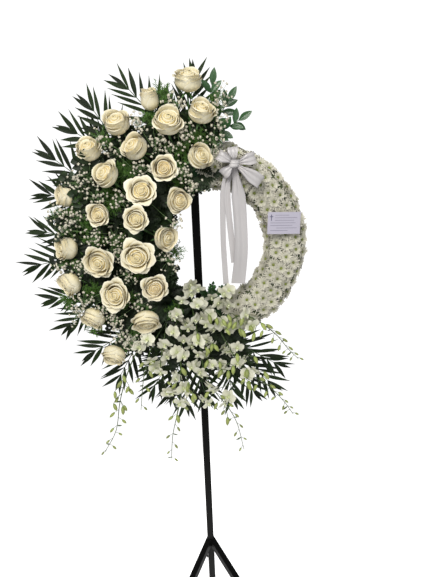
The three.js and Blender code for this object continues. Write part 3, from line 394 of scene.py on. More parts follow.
# Leaves and petals: colour stops from base to tip, roughness, and what else differs from plain.
PLANT_LOOKS = {
    "rose_green": ([(0, (0.05, 0.12, 0.03)), (1, (0.07, 0.16, 0.04))], 0.5, {"veins": 20}),
    "palm_leaf": (
        [(0, (0.007, 0.018, 0.003)), (0.5, (0.008, 0.019, 0.003)), (1, (0.013, 0.028, 0.005))], 0.5,
        {"veins": 16, "vein_depth": 0.5, "mottle": 0.5, "tone": 1.1, "Specular_IOR_Level": 0.2},
    ),
    "palm_rib": ([(0, (0.05, 0.10, 0.03)), (1, (0.03, 0.07, 0.02))], 0.45, {}),
    "leathery_fern": (
        [(0, (0.004, 0.011, 0.002)), (1, (0.011, 0.029, 0.004))], 0.55,
        {"veins": 6, "mottle": 0.5, "tone": 0.9, "Specular_IOR_Level": 0.3},
    ),
    "fluffy_fern": ([(0, (0.035, 0.10, 0.010)), (1, (0.085, 0.19, 0.018))], 0.6, {"tone": 0.6}),
    "breath_petals": (
        [(0, (0.30, 0.30, 0.18)), (0.4, (0.52, 0.49, 0.39)), (1, (0.70, 0.66, 0.55))], 0.7, {"tone": 0.35},
    ),
    "breath_twigs": ([(0, (0.10, 0.19, 0.06)), (1, (0.16, 0.26, 0.10))], 0.6, {}),
    "orchid_petals": (
        [(0, (0.46, 0.54, 0.22)), (0.3, (0.58, 0.58, 0.43)), (1, (0.70, 0.69, 0.58))], 0.5,
        {"veins": 22, "mottle": 0.15, "tone": 0.4, "Sheen_Weight": 0.15},
    ),
    "orchid_lip": (
        [(0, (0.45, 0.52, 0.10)), (0.5, (0.75, 0.78, 0.50)), (1, (0.88, 0.88, 0.80))], 0.5, {"mottle": 0.3},
    ),
    "orchid_stem": ([(0, (0.04, 0.08, 0.02)), (1, (0.08, 0.12, 0.03))], 0.45, {"tone": 0.5}),
    "orchid_bud": (
        [(0, (0.12, 0.19, 0.03)), (0.5, (0.32, 0.37, 0.11)), (1, (0.24, 0.29, 0.08))], 0.45, {"tone": 0.5},
    ),
    "sprig_leaf": (
        [(0, (0.02, 0.07, 0.02)), (1, (0.035, 0.10, 0.03))], 0.3,
        {"veins": 9, "vein_depth": 0.5, "tone": 0.7},
    ),
    "sprig_wood": ([(0, (0.06, 0.07, 0.03)), (1, (0.05, 0.10, 0.03))], 0.7, {}),
    # Daisy petals are darker olive at the base: partly their own green base and partly painted shade
    # between the petals round the eye.
    "daisy_petals": (
        [(0, (0.22, 0.24, 0.09)), (0.3, (0.50, 0.49, 0.37)), (1, (0.70, 0.67, 0.58))], 0.65,
        {"veins": 9, "vein_depth": 0.4, "mottle": 0.15, "tone": 0.22},
    ),
    "daisy_eye": (
        [(0, (0.11, 0.15, 0.03)), (1, (0.22, 0.25, 0.06))], 0.8, {"vein_depth": 0.9, "mottle": 0.8},
    ),
    # Painted shade: the dark sheet behind the daisies.
    "daisy_shade_sheet": ([(0, (0.07, 0.09, 0.04)), (1, (0.07, 0.09, 0.04))], 0.9, {}),
}

# Places in the list of a piece's materials, after the first, which is its leaves or petals.
GREEN_SLOT = RIB_SLOT = PLUME_SLOT = TWIG_SLOT = WOOD_SLOT = LIP_SLOT = EYE_SLOT = 1
STEM_SLOT = SHADE_SHEET_SLOT = 2
BUD_SLOT = 3

# Plant skins: noise scales of the mottling and of the fine grain, and the bump's depth in metres.
MOTTLE_SCALE = 260
SKIN_SCALE = 900
SKIN_DEPTH = 0.0004

rng = np.random.default_rng(SEED)


def between(low, high):
    return float(rng.uniform(low, high))


def unit(vector):
    return vector / (np.linalg.norm(vector) + 1e-12)


def vec(*numbers):
    return np.array(numbers, float)


def on_ring(degrees, radius, y):
    angle = math.radians(degrees)
    return vec(RING_X + radius * math.cos(angle), y, RING_Z + radius * math.sin(angle))


def ring_angle(x, z):
    return math.degrees(math.atan2(z - RING_Z, x - RING_X))


def facing(spread, low, high):
    """A direction towards the viewer, turned sideways and up by random shares."""
    return unit(vec(between(-spread, spread), -1, between(low, high)))


def hides_rose(place, share):
    """Whether a point would stand in front of or in a rose."""
    for at, radius, *_ in ROSES:
        if math.hypot(place[0] - at[0], place[2] - at[2]) < share * radius and place[1] < at[1] + radius:
            return True
    return False


def grid_faces(rows, cols, wrap=False):
    """Quads of a grid of points given row by row."""
    across = np.arange(cols if wrap else cols - 1)
    up = np.arange(rows - 1)[:, None] * cols
    nxt = (across + 1) % cols
    quads = np.stack([up + across, up + nxt, up + cols + nxt, up + cols + across], -1)
    return quads.reshape(-1, 4)


class Soup:
    """Surfaces that become one mesh. Each point is marked: along, across, tone."""

    def __init__(self):
        self.points, self.faces, self.marks, self.slots = [], [], [], []
        self.count = 0

    def add(self, points, faces, along, across, tone, slot=0):
        self.points.append(points)
        self.faces.append(faces + self.count)
        marks = np.empty((len(points), 3))
        marks[:, 0] = along
        marks[:, 1] = across
        marks[:, 2] = tone
        self.marks.append(marks)
        self.slots.append(np.full(len(faces), slot))
        self.count += len(points)

    def place(self, points, origin, along, normal):
        """Local points with y along a direction and z as near as it can be to a normal."""
        y = unit(along)
        x = unit(np.cross(y, normal))
        z = np.cross(x, y)
        return origin + points @ np.array([x, y, z])

    def leaf(self, origin, along, normal, length, width, tone=0.5, slot=0, **shape):
        points, faces, t, s = leaf_shape(length, width, **shape)
        self.add(self.place(points, origin, along, normal), faces, t, s, tone, slot)

    def tube(self, path, radii, sides=5, tone=0.5, slot=0):
        path = np.asarray(path, float)
        radii = np.broadcast_to(np.asarray(radii, float), (len(path),))
        tangent = np.gradient(path, axis=0)
        tangent /= np.linalg.norm(tangent, axis=1)[:, None] + 1e-12
        reference = vec(0, 0, 1) if abs(tangent[0][2]) < 0.8 else vec(1, 0, 0)
        side = unit(np.cross(tangent[0], reference))
        turn = np.linspace(0, 2 * np.pi, sides, endpoint=False)
        rings = []
        for place, direction, radius in zip(path, tangent, radii):
            side = unit(side - direction * (side @ direction))
            up = np.cross(direction, side)
            rings.append(place + radius * (np.cos(turn)[:, None] * side + np.sin(turn)[:, None] * up))
        along = np.repeat(np.linspace(0, 1, len(path)), sides)
        across = np.tile(np.cos(turn), len(path))
        self.add(np.concatenate(rings), grid_faces(len(path), sides, True), along, across, tone, slot)

    def turned(self, rows, origin, along, normal, sides=8, tone=0.5, slot=0, lobes=0, depth=0.0):
        """A form turned round its axis from rows of radius and height, with lobes if asked."""
        turn = np.linspace(0, 2 * np.pi, sides, endpoint=False)
        reach = 1 + depth * np.cos(lobes * turn)
        radius = np.array([max(r, 0.03) for r, _ in rows])[:, None]
        height = np.array([h for _, h in rows])[:, None] + 0 * turn
        points = np.stack([radius * reach * np.cos(turn), height, radius * reach * np.sin(turn)], -1)
        along_mark = np.repeat(np.linspace(0, 1, len(rows)), sides)
        placed = self.place(points.reshape(-1, 3), origin, along, normal)
        faces = grid_faces(len(rows), sides, True)
        self.add(placed, faces, along_mark, np.tile(np.cos(lobes * turn), len(rows)), tone, slot)

    def piece(self, name, materials, slot, *nodes):
        """The object of this soup, riding on the frame in place of some CAD nodes."""
        mesh = bpy.data.meshes.new(name)
        points = np.concatenate(self.points) * MM
        faces = np.concatenate(self.faces)
        mesh.vertices.add(len(points))
        mesh.vertices.foreach_set("co", points.astype(np.float32).ravel())
        mesh.loops.add(faces.size)
        mesh.loops.foreach_set("vertex_index", faces.astype(np.int32).ravel())
        mesh.polygons.add(len(faces))
        mesh.polygons.foreach_set("loop_start", np.arange(0, faces.size, 4, dtype=np.int32))
        mesh.polygons.foreach_set("material_index", np.concatenate(self.slots).astype(np.int32))
        mesh.polygons.foreach_set("use_smooth", np.ones(len(faces), bool))
        mesh.update(calc_edges=True)
        marks = np.concatenate(self.marks)
        for i, mark in enumerate(("along", "across", "tone")):
            attribute = mesh.attributes.new(mark, "FLOAT", "POINT")
            attribute.data.foreach_set("value", marks[:, i].astype(np.float32))
        for material in materials:
            mesh.materials.append(material)
        piece = bpy.data.objects.new(name, mesh)
        bpy.context.scene.collection.objects.link(piece)
        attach(piece, "root")
        if nodes:
            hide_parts(*nodes)
        return piece


def leaf_shape(
    length, width, rows=5, cols=3, widest=0.4, fold=0.2, droop=0.1, blunt=0.8, foot=0.15, wave=0.0
):
    """A leaf or petal in its own frame: y along it, z out of it. A fold lifts the edges."""
    t = np.linspace(0, 1, rows + 1)[:, None]
    s = np.linspace(-1, 1, cols)[None, :]
    rise = foot + (1 - foot) * np.sin(0.5 * np.pi * np.clip(t / widest, 0, 1))
    fall = np.cos(0.5 * np.pi * np.clip((t - widest) / (1 - widest), 0, 0.999)) ** blunt
    half = 0.5 * width * np.maximum(np.where(t < widest, rise, fall), 0.04)
    x = s * half
    y = length * t + 0 * s
    z = fold * half * np.abs(s) ** 1.5 - droop * length * t**2 + wave * width * np.sin(5 * t + 3 * s)
    points = np.stack([x, y, z], -1).reshape(-1, 3)
    return points, grid_faces(rows + 1, cols), (t + 0 * s).ravel(), (s + 0 * t).ravel()


def smooth_path(points, count):
    """Points on a smooth curve through the given ones."""
    points = np.asarray(points, float)
    padded = np.vstack([2 * points[0] - points[1], points, 2 * points[-1] - points[-2]])
    result = []
    for place in np.linspace(0, len(points) - 1, count):
        i = min(int(place), len(points) - 2)
        t = place - i
        a, b, c, d = padded[i : i + 4]
        square = (2 * a - 5 * b + 4 * c - d) * t**2
        result.append(0.5 * (2 * b + (c - a) * t + square + (3 * b - a - 3 * c + d) * t**3))
    return np.array(result)


# Materials


class Nodes:
    """Short calls that add and link the nodes of one material."""

    def __init__(self, name):
        self.material = bpy.data.materials.new(name)
        self.material.use_nodes = True
        self.tree = self.material.node_tree
        self.shader = self.tree.nodes["Principled BSDF"]

    def link(self, value, socket):
        if isinstance(value, bpy.types.NodeSocket):
            self.tree.links.new(value, socket)
        else:
            socket.default_value = value

    def mark(self, name):
        node = self.tree.nodes.new("ShaderNodeAttribute")
        node.attribute_name = name
        return node.outputs["Fac"]

    def place(self):
        return self.tree.nodes.new("ShaderNodeTexCoord").outputs["Object"]

    def noise(self, scale, detail=4.0):
        node = self.tree.nodes.new("ShaderNodeTexNoise")
        node.inputs["Scale"].default_value = scale
        node.inputs["Detail"].default_value = detail
        self.link(self.place(), node.inputs["Vector"])
        return node.outputs["Fac"]

    def math(self, operation, a, b=0.5, c=0.5):
        node = self.tree.nodes.new("ShaderNodeMath")
        node.operation = operation
        for value, socket in zip((a, b, c), node.inputs):
            self.link(value, socket)
        return node.outputs[0]

    def ramp(self, value, stops):
        node = self.tree.nodes.new("ShaderNodeValToRGB")
        elements = node.color_ramp.elements
        while len(elements) < len(stops):
            elements.new(0.5)
        for element, (place, color) in zip(elements, stops):
            element.position = place
            element.color = (*color, 1)
        self.link(value, node.inputs["Fac"])
        return node.outputs["Color"]

    def mix(self, share, a, b, kind="MIX"):
        node = self.tree.nodes.new("ShaderNodeMix")
        node.data_type = "RGBA"
        node.blend_type = kind
        self.link(share, node.inputs[0])
        for value, socket in ((a, node.inputs[6]), (b, node.inputs[7])):
            self.link((*value, 1) if isinstance(value, tuple) else value, socket)
        return node.outputs[2]

    def bump(self, height, strength, distance):
        node = self.tree.nodes.new("ShaderNodeBump")
        node.inputs["Strength"].default_value = strength
        node.inputs["Distance"].default_value = distance
        self.link(height, node.inputs["Height"])
        self.link(node.outputs["Normal"], self.shader.inputs["Normal"])

    def finish(self, color, roughness, **sockets):
        self.link(color, self.shader.inputs["Base Color"])
        self.link(roughness, self.shader.inputs["Roughness"])
        for name, value in sockets.items():
            self.shader.inputs[name.replace("_", " ")].default_value = value
        return self.material


def plant_material(name, stops, roughness=0.5, veins=0, vein_depth=0.3, mottle=0.35, tone=0.45, **sockets):
    """A leaf or petal: a ramp along it, mottling, a tone for each one, and veins."""
    nodes = Nodes(name)
    color = nodes.ramp(nodes.mark("along"), stops)
    speck = nodes.math("MULTIPLY_ADD", nodes.noise(MOTTLE_SCALE), mottle, 1 - 0.5 * mottle)
    own = nodes.math("MULTIPLY_ADD", nodes.mark("tone"), tone, 1 - 0.5 * tone)
    color = nodes.mix(1.0, color, nodes.math("MULTIPLY", speck, own), "MULTIPLY")
    height = nodes.noise(SKIN_SCALE)
    if veins:
        wave = nodes.math("SINE", nodes.math("MULTIPLY", nodes.mark("across"), veins))
        height = nodes.math("ADD", nodes.math("MULTIPLY", wave, 0.6), height)
    nodes.bump(height, vein_depth, SKIN_DEPTH)
    return nodes.finish(color, roughness, **sockets)


def rose_material(name, warmth_and_fold_shade):
    """Cream petals, with a warmer heart. The mark along is 0 at the base and 1 at the rim, where the
    lightest stop is partly the petal's paler edge and partly a painted highlight. The tone mixes in a dark
    warm brown that is partly the heart's own warmth and partly painted shade in its folds and towards its
    middle.
    """
    nodes = Nodes(name)
    warm = (0.80 - 0.04 * warmth_and_fold_shade, 0.69 - 0.06 * warmth_and_fold_shade, 0.38 - 0.08 * warmth_and_fold_shade)
    # The stop at 1.0 is partly the petal's paler edge and partly a painted highlight along the rims.
    stops = [
        (0.0, (0.50, 0.54, 0.22)), (0.25, warm), (0.7, (0.82, 0.75, 0.53)), (0.9, (0.84, 0.78, 0.58)),
        (1.0, (0.91, 0.87, 0.71)),
    ]
    color = nodes.ramp(nodes.mark("along"), stops)
    # The heart colour is partly the heart's own warmth and partly painted shade, mixed in by the tone in
    # the folds and towards the middle.
    heart = (0.55, 0.45 - 0.05 * warmth_and_fold_shade, 0.17)
    depth = nodes.math("MULTIPLY", nodes.mark("tone"), 0.55 + 0.4 * warmth_and_fold_shade)
    color = nodes.mix(depth, color, heart)
    speck = nodes.math("MULTIPLY_ADD", nodes.noise(120), 0.12, 0.94)
    color = nodes.mix(1.0, color, speck, "MULTIPLY")
    veins = nodes.math("SINE", nodes.math("MULTIPLY", nodes.mark("across"), 46.0))
    height = nodes.math("ADD", nodes.math("MULTIPLY", veins, 0.25), nodes.noise(700))
    nodes.bump(height, 0.22, SKIN_DEPTH)
    return nodes.finish(color, 0.55, Sheen_Weight=0.25, Sheen_Roughness=0.4)


def steel_material():
    """Satin black paint with brush marks, dust and a few rubbed spots."""
    nodes = Nodes("black_paint")
    dust = nodes.noise(14, 8)
    color = nodes.mix(nodes.math("MULTIPLY", dust, 0.35), (0.002, 0.002, 0.002), (0.009, 0.009, 0.008))
    rubbed = nodes.ramp(nodes.noise(55, 10), [(0.66, (0, 0, 0)), (0.74, (1, 1, 1))])
    color = nodes.mix(nodes.math("MULTIPLY", rubbed, 0.3), color, (0.03, 0.029, 0.028))
    roughness = nodes.math("MULTIPLY_ADD", nodes.noise(90, 6), 0.25, 0.28)
    nodes.bump(nodes.noise(1400, 3), 0.18, 0.0003)
    return nodes.finish(color, roughness, Specular_IOR_Level=0.08)


def grained_material(name, dark, light, scale, roughness, strength, distance=0.0005):
    nodes = Nodes(name)
    grain = nodes.noise(scale, 8)
    color = nodes.mix(grain, dark, light)
    nodes.bump(grain, strength, distance)
    return nodes.finish(color, roughness)


def satin_material():
    """Satin ribbon: fine weave across and along, soft streaks and a sheen."""
    nodes = Nodes("satin")
    weft = nodes.math("SINE", nodes.math("MULTIPLY", nodes.mark("along"), 900.0))
    warp = nodes.math("SINE", nodes.math("MULTIPLY", nodes.mark("across"), 160.0))
    weave = nodes.math("ADD", nodes.math("MULTIPLY", weft, 0.5), nodes.math("MULTIPLY", warp, 0.5))
    edge = nodes.math("ABSOLUTE", nodes.mark("across"))
    woven_edge = nodes.ramp(edge, [(0.9, (0.54, 0.52, 0.52)), (0.96, (0.42, 0.40, 0.41))])
    color = nodes.mix(nodes.math("MULTIPLY", nodes.noise(35, 6), 0.3), woven_edge, (0.38, 0.36, 0.38))
    nodes.bump(weave, 0.12, 0.0002)
    return nodes.finish(color, 0.32, Sheen_Weight=0.4, Sheen_Roughness=0.3, Anisotropic=0.5)


def card_material():
    """Card stock with faint fibres."""
    nodes = Nodes("card_stock")
    fibre = nodes.noise(600, 8)
    color = nodes.mix(fibre, (0.43, 0.41, 0.49), (0.49, 0.47, 0.56))
    nodes.bump(fibre, 0.1, 0.0002)
    return nodes.finish(color, 0.62)


# Pieces


def rose_petal(soup, place, radius, tall, layer, middle, openness, tone):
    """One petal of a rose head, bent round the axis of the head."""
    _, belly, rim, height, roll, spread, drop = layer
    rows, cols = 11, 11
    t = np.linspace(0, 1, rows)[:, None] ** 0.85
    s = np.linspace(-1, 1, cols)[None, :]
    outer = min(1.0, roll / 0.13)
    rolled = roll * (0.35 + 0.95 * openness) * between(0.6, 1.7)
    rim_radius = rim + (0.10 * openness - 0.02) * outer
    top = height - 0.22 * openness * outer + between(-0.09, 0.07)
    key_t = [0, 0.2, 0.5, 0.8, 0.93, 1]
    key_r = [0.08, belly * 0.66, belly, rim_radius, rim_radius + 0.5 * rolled, rim_radius + rolled]
    key_z = [0.06, 0.18, 0.55, top * 0.93, top, top - 0.5 * rolled * (0.4 + openness)]
    reach = t * (1 - drop * np.abs(s) ** 1.8) + 0.015 * np.sin(7 * s + middle) * t
    fine = np.linspace(0, 1, 41)
    soft_r = np.convolve(np.pad(np.interp(fine, key_t, key_r), 3, "edge"), np.ones(7) / 7, "valid")
    soft_z = np.convolve(np.pad(np.interp(fine, key_t, key_z), 3, "edge"), np.ones(7) / 7, "valid")
    rho = np.interp(reach, fine, soft_r)
    z = np.interp(reach, fine, soft_z)
    peak = (1 - np.abs(s)) ** 2 * np.clip((t - 0.75) / 0.25, 0, 1)
    rho = rho + peak * (0.04 * outer + 0.5 * rolled) + 0.045 * s * t
    rho = rho * (1 + (0.20 - 0.08 * outer) * (0.35 - s**2) * t)
    z = z + (0.05 * outer + 0.03) * peak
    rho = rho + 0.018 * np.sin(3.2 * s + 2 * middle) * t**2
    half = np.radians(spread) * np.sin(0.5 * np.pi * np.clip(0.22 + 0.95 * t, 0, 1)) ** 0.7
    angle = middle + s * half
    points = np.stack([rho * np.cos(angle), z * tall, rho * np.sin(angle)], -1).reshape(-1, 3) * radius
    along = (t + 0 * s).ravel()
    soup.add(place(points), grid_faces(rows, cols), along, (s + 0 * t).ravel(), tone)


def rose_heart(soup, place, radius, tall, openness, start):
    """The closed heart: a petal edge that winds inwards over a dome, with a fold inside each turn."""
    turn = np.linspace(0, 2 * np.pi, HEART_COLUMNS)
    rows_rho, rows_z, rows_mark = [], [], []
    pitch = HEART_RADIUS / HEART_TURNS
    sink = HEART_SINK * openness

    def edge(k):
        total = turn + 2 * np.pi * k
        wobble = 0.036 * np.sin(2.6 * total + start) + 0.016 * np.sin(4.3 * total + 2 * start)
        return pitch * (k + turn / (2 * np.pi)) + wobble * min(1, 0.2 + k / 3)

    for k in range(HEART_TURNS):
        inner, outer = edge(k), edge(k + 1)
        for share, fold, mark in HEART_PROFILE:
            rho = np.maximum(inner + (outer - inner) * share, 0.004)
            dome = HEART_TOP - sink - (HEART_TOP - HEART_EDGE) * (rho / HEART_RADIUS) ** 2
            rows_rho.append(rho)
            rows_z.append(dome + HEART_FOLD * fold * min(1, 0.04 + 0.48 * k))
            rows_mark.append(np.full(len(turn), mark))
    for depth, swell in HEART_SKIRT:
        rows_rho.append(edge(HEART_TURNS) + swell)
        rows_z.append(HEART_EDGE - sink - depth + 0 * turn)
        rows_mark.append(np.full(len(turn), 1 - 0.7 * depth))
    rho, z = np.array(rows_rho), np.array(rows_z)
    points = np.stack([rho * np.cos(turn), z * tall, rho * np.sin(turn)], -1).reshape(-1, 3) * radius
    marks = np.array(rows_mark)
    # Painted shade: the tone, which mixes in the dark heart colour, grows into the folds between the turns
    # and towards the middle.
    tone = np.clip((1.25 - 0.8 * rho / HEART_RADIUS) * (1.25 - marks), 0.05, 1).ravel()
    across = np.tile(turn, len(rho))
    soup.add(place(points), grid_faces(len(rho), len(turn)), np.concatenate(rows_mark), across, tone)
    points = [
        (r * pitch * math.cos(a), (HEART_TOP - sink - depth) * tall, r * pitch * math.sin(a))
        for r, depth in HEART_PLUG
        for a in np.linspace(0, 2 * np.pi, 12)
    ]
    soup.add(place(np.array(points) * radius), grid_faces(4, 12), 0.8, 0.5, 0.6)


def build_rose(number, at, radius, right, up, tall, root, openness, warmth_and_fold_shade, green):
    soup = Soup()
    centre = np.array(at, float)
    turn, lift = math.radians(right), math.radians(up)
    face = vec(math.sin(turn) * math.cos(lift), -math.cos(turn) * math.cos(lift), math.sin(lift))
    calyx = centre - face * ROSE_MIDDLE * radius * tall
    roll = unit(vec(between(-1, 1), 0.2, between(-1, 1)))

    def place(points):
        return soup.place(points, calyx, face, roll)

    start = between(0, 6)
    for k, layer in enumerate(ROSE_LAYERS):
        count = layer[0] + (k < 2 and openness > OPEN_ROSE)
        for i in range(count):
            middle = start + k * 2.25 + 2 * np.pi * (i + between(-0.07, 0.07)) / count
            rose_petal(soup, place, radius, tall, layer, middle, openness, 0.12 * k)
    rose_heart(soup, place, radius, tall, openness, start)
    cup = [(2.2, -8), (4.5, -5), (6.5, 0), (7.5, 0.12 * radius), (5, 0.2 * radius)]
    soup.turned(cup, calyx, face, roll, slot=GREEN_SLOT)
    for i in range(5):
        angle = start + 2 * np.pi * i / 5
        out = place(vec(math.cos(angle), -0.25, math.sin(angle))[None, :])[0] - calyx
        base = place(vec(6 * math.cos(angle), 1, 6 * math.sin(angle))[None, :])[0]
        soup.leaf(
            base, out, face, SEPAL_LENGTH * radius, SEPAL_WIDTH, slot=GREEN_SLOT,
            widest=0.25, fold=-0.4, droop=0.35,
        )
    knee = on_ring(root[0], root[1], KNEE_Y)
    toe = on_ring(root[0], root[1] + (4 if root[1] < RUNNER_RADIUS else -4), TOE_Y)
    stem = smooth_path([calyx - face * 4, 0.5 * (calyx - face * 14 + knee), knee, toe], 12)
    soup.tube(stem, ROSE_STEM, 6, 0.4, GREEN_SLOT)
    material = rose_material(f"rose_petal_{number}", warmth_and_fold_shade)
    soup.piece(f"rose_bloom_{number}", [material, green], "rose_petals", f"rose_{number}")


def palm_leaflet(soup, base, direction, length, width):
    tone = between(0, 1)
    normal = facing(0.25, -0.1, 0.35)
    soup.leaf(
        base, direction, normal, length, width, tone,
        rows=8, widest=0.42, fold=0.3, droop=between(-0.03, 0.12), blunt=1.15, foot=0.12,
    )


def palm_frond(soup, root, tip, y):
    """A frond from the root to its tip, drooping away from the viewer as it leaves the ring."""
    share = np.linspace(0, 1, 14)[:, None]
    rib = root + (tip - root) * share * PALM_RIB
    out = np.clip(np.hypot(rib[:, 0] - RING_X, rib[:, 2] - RING_Z) - FOAM_OUTER, 0, None)
    rib[:, 1] = y + PALM_DROOP * (out / 300) ** 2
    soup.tube(rib, np.linspace(2.2, 0.8, len(rib)), 5, 0.6, RIB_SLOT)
    length = np.linalg.norm((tip - root)[[0, 2]])
    along = unit(vec(tip[0] - root[0], 0, tip[2] - root[2]))
    across = vec(-along[2], 0, along[0])
    for side in (1, -1):
        for i in range(PALM_PAIRS):
            part = (i + 0.5) / PALM_PAIRS
            place = 0.12 + 0.82 * part
            base = rib[0] + (rib[-1] - rib[0]) * place
            base[1] = np.interp(place, share[:, 0], rib[:, 1])
            part += 0.25 * side / PALM_PAIRS
            angle = math.radians(PALM_SPREAD[0] - PALM_SPREAD[1] * part + between(-7, 7))
            reach = length * (0.40 - 0.22 * abs(part - 0.3)) * between(0.88, 1.08)
            direction = along * math.cos(angle) + across * side * math.sin(angle)
            direction = direction + vec(0, between(-0.03, 0.07), 0)
            palm_leaflet(soup, base, direction, reach, between(*PALM_LEAFLET))
    palm_leaflet(soup, rib[-2], rib[-1] - rib[-2] + across * 3, (1 - PALM_RIB) * length, 10)


def build_palm(name, root_angle, fronds, leaf, rib):
    soup = Soup()
    levels = [PALM_FRONT_Y + PALM_LEVEL_STEP * level for _, _, level in fronds]
    middle = 0.5 * (min(levels) + max(levels))
    root = on_ring(root_angle, PALM_ROOT_RADIUS, middle)
    neck = [on_ring(root_angle, FOAM_OUTER - 14, middle), root, root + vec(0, 1, 0)]
    soup.tube(neck, 2.6, 6, slot=RIB_SLOT)
    crown = [root + vec(0, level - middle, 0) for level in (min(levels), max(levels))]
    soup.tube(crown, 4, 8, slot=RIB_SLOT)
    for (tip_angle, tip_radius, _), y in zip(fronds, levels):
        palm_frond(soup, root + vec(0, y - middle, 0), on_ring(tip_angle, tip_radius, y), y)
    soup.piece(name + "_fronds", [leaf, rib], "palm_leaf", name)


def leather_frond(soup, base, tip, normal, tone):
    """A flat triangular frond of close pinnae."""
    axis = tip - base
    length = np.linalg.norm(axis)
    along = unit(axis)
    across = unit(np.cross(along, normal))
    soup.tube([base, base + axis * 0.5, tip], [0.9, 0.7, 0.3], 3, 0.3)
    for i in range(LEATHER_PAIRS):
        part = (i + 0.6) / LEATHER_PAIRS
        start = base + axis * (0.08 + 0.88 * part)
        reach = length * (0.40 * (1 - part) + 0.07)
        for side in (1, -1):
            direction = across * side + along * 0.55 + normal * between(-0.1, 0.25)
            soup.leaf(
                start, direction, normal, reach, 0.105 * length, tone + between(-0.15, 0.15),
                rows=3, widest=0.3, fold=0.3, droop=0.15, foot=0.5,
            )


def fluffy_fern(soup, centre, base):
    """A soft light-green plume of fine needles."""
    bend = 0.5 * (base + centre) + vec(0, -6, 0)
    soup.tube(smooth_path([base, bend, centre], 7), 0.9, 4, slot=PLUME_SLOT)
    for _ in range(FLUFFY_BRANCHES):
        heading = unit(rng.normal(size=3) * vec(1, 0.55, 1) + vec(0, -0.35, 0))
        reach = FLUFFY_RADIUS * between(0.7, 1.15)
        start = centre + rng.normal(size=3) * FLUFFY_RADIUS * 0.12
        end = start + heading * reach
        if hides_rose(end, 0.9):
            continue
        soup.tube([start, end], [0.35, 0.2], 3, slot=PLUME_SLOT)
        for _ in range(FLUFFY_NEEDLES):
            place = start + (end - start) * between(0.1, 1)
            needle = unit(heading * 0.6 + rng.normal(size=3))
            soup.leaf(
                place, needle, vec(0, -1, 0), between(5, 9), 1.3, between(0.2, 1), PLUME_SLOT,
                rows=1, cols=2, foot=0.9,
            )


def build_fern(name, arc, count, leaf, light):
    """The green between the roses: leathery fronds that cover the foam, and fluffy plumes."""
    soup = Soup()
    for i in range(count):
        angle = arc[0] + (arc[1] - arc[0]) * (i + between(0, 1)) / count
        zone = i % 4
        if zone == 0 or i % 8 == 2:
            base = on_ring(angle, between(243, 252), between(-68, -60))
            heading = on_ring(angle + between(-25, 25), 300, 0) - on_ring(angle, 200, 0)
            longer = FERN_LONGER if FERN_LONG_ARC[0] < angle < FERN_LONG_ARC[1] else 0
            length = between(*FERN_OUTER) + longer
            forward = between(-0.45, -0.1)
        elif zone == 1:
            base = on_ring(angle, between(172, 180), between(-70, -60))
            heading = on_ring(angle + between(-60, 60), 150, 0) - on_ring(angle, 230, 0)
            length = between(*FERN_INNER)
            forward = between(-0.7, -0.3)
        else:
            base = on_ring(angle, between(182, 244), FOAM_FRONT - 2)
            turn = between(0, 2 * math.pi)
            heading = vec(math.cos(turn), 0, math.sin(turn))
            length = between(*FERN_FRONT)
            forward = between(-0.75, -0.25)
        tip = base + unit(unit(heading) + vec(0, forward, 0)) * length
        leather_frond(soup, base, tip, facing(0.4, 0, 0.5), between(0, 0.9))
    for angle in np.arange(max(arc[0], INNER_ARC[0]), min(arc[1], INNER_ARC[1]), INNER_STEP):
        near = min(INNER_CLEAR / max(abs(math.cos(math.radians(angle))), 0.5), INNER_FAR - 10)
        base = on_ring(angle + between(-3, 3), between(168, 178), between(-72, -62))
        tip = on_ring(angle + between(-10, 10), between(near + 4, INNER_FAR), between(-128, -84))
        leather_frond(soup, base, tip, facing(0.4, 0, 0.5), between(0, 0.8))
    for x, z in FLUFFY[name]:
        reach = math.hypot(x - RING_X, z - RING_Z)
        base = on_ring(ring_angle(x, z), min(max(reach, 180), 246), FOAM_FRONT)
        fluffy_fern(soup, vec(x, FLUFFY_Y, z), base)
    soup.piece(name + "_green", [leaf, light], "fern_leaf", name)


def floret(soup, at, face, radius):
    """A small double floret: an open star over a rounder one."""
    roll = unit(rng.normal(size=3))
    rows = [(0.25 * radius, -0.6 * radius), (0.95 * radius, 0.05 * radius), (0.5 * radius, 0.35 * radius)]
    soup.turned(rows, at, face, roll, 10, between(0.3, 1), lobes=5, depth=0.22)
    top = [(0.62 * radius, 0.25 * radius), (0.1 * radius, 0.6 * radius)]
    soup.turned(top, at, face, roll, 10, between(0.4, 1), lobes=5, depth=0.3)


def build_breath(name, clusters, white, twig):
    soup = Soup()
    for x, z in clusters:
        centre = vec(x, between(*BREATH_Y), z)
        start = on_ring(ring_angle(x, z) + between(-4, 4), RUNNER_RADIUS, FOAM_FRONT)
        elbow = start * 0.6 + centre * 0.4 + vec(0, -10, 0)
        path = smooth_path([start, elbow, centre], 8)
        soup.tube(path, np.linspace(1.1, 0.6, len(path)), 4, slot=TWIG_SLOT)
        for _ in range(BREATH_TWIGS):
            spread = unit(rng.normal(size=3) * vec(1, 0.5, 1) + vec(0, -0.2, 0))
            tip = centre + spread * between(*BREATH_REACH)
            if hides_rose(tip, 1.02):
                continue
            fork = centre + (tip - centre) * 0.4 + rng.normal(size=3) * 2
            soup.tube([centre, fork, tip], [0.5, 0.4, 0.3], 3, slot=TWIG_SLOT)
            floret(soup, tip, unit(spread + vec(0, -0.8, 0)), between(0.8, 1.25) * FLORET)
    soup.piece(name + "_florets", [white, twig], "small_florets", name)


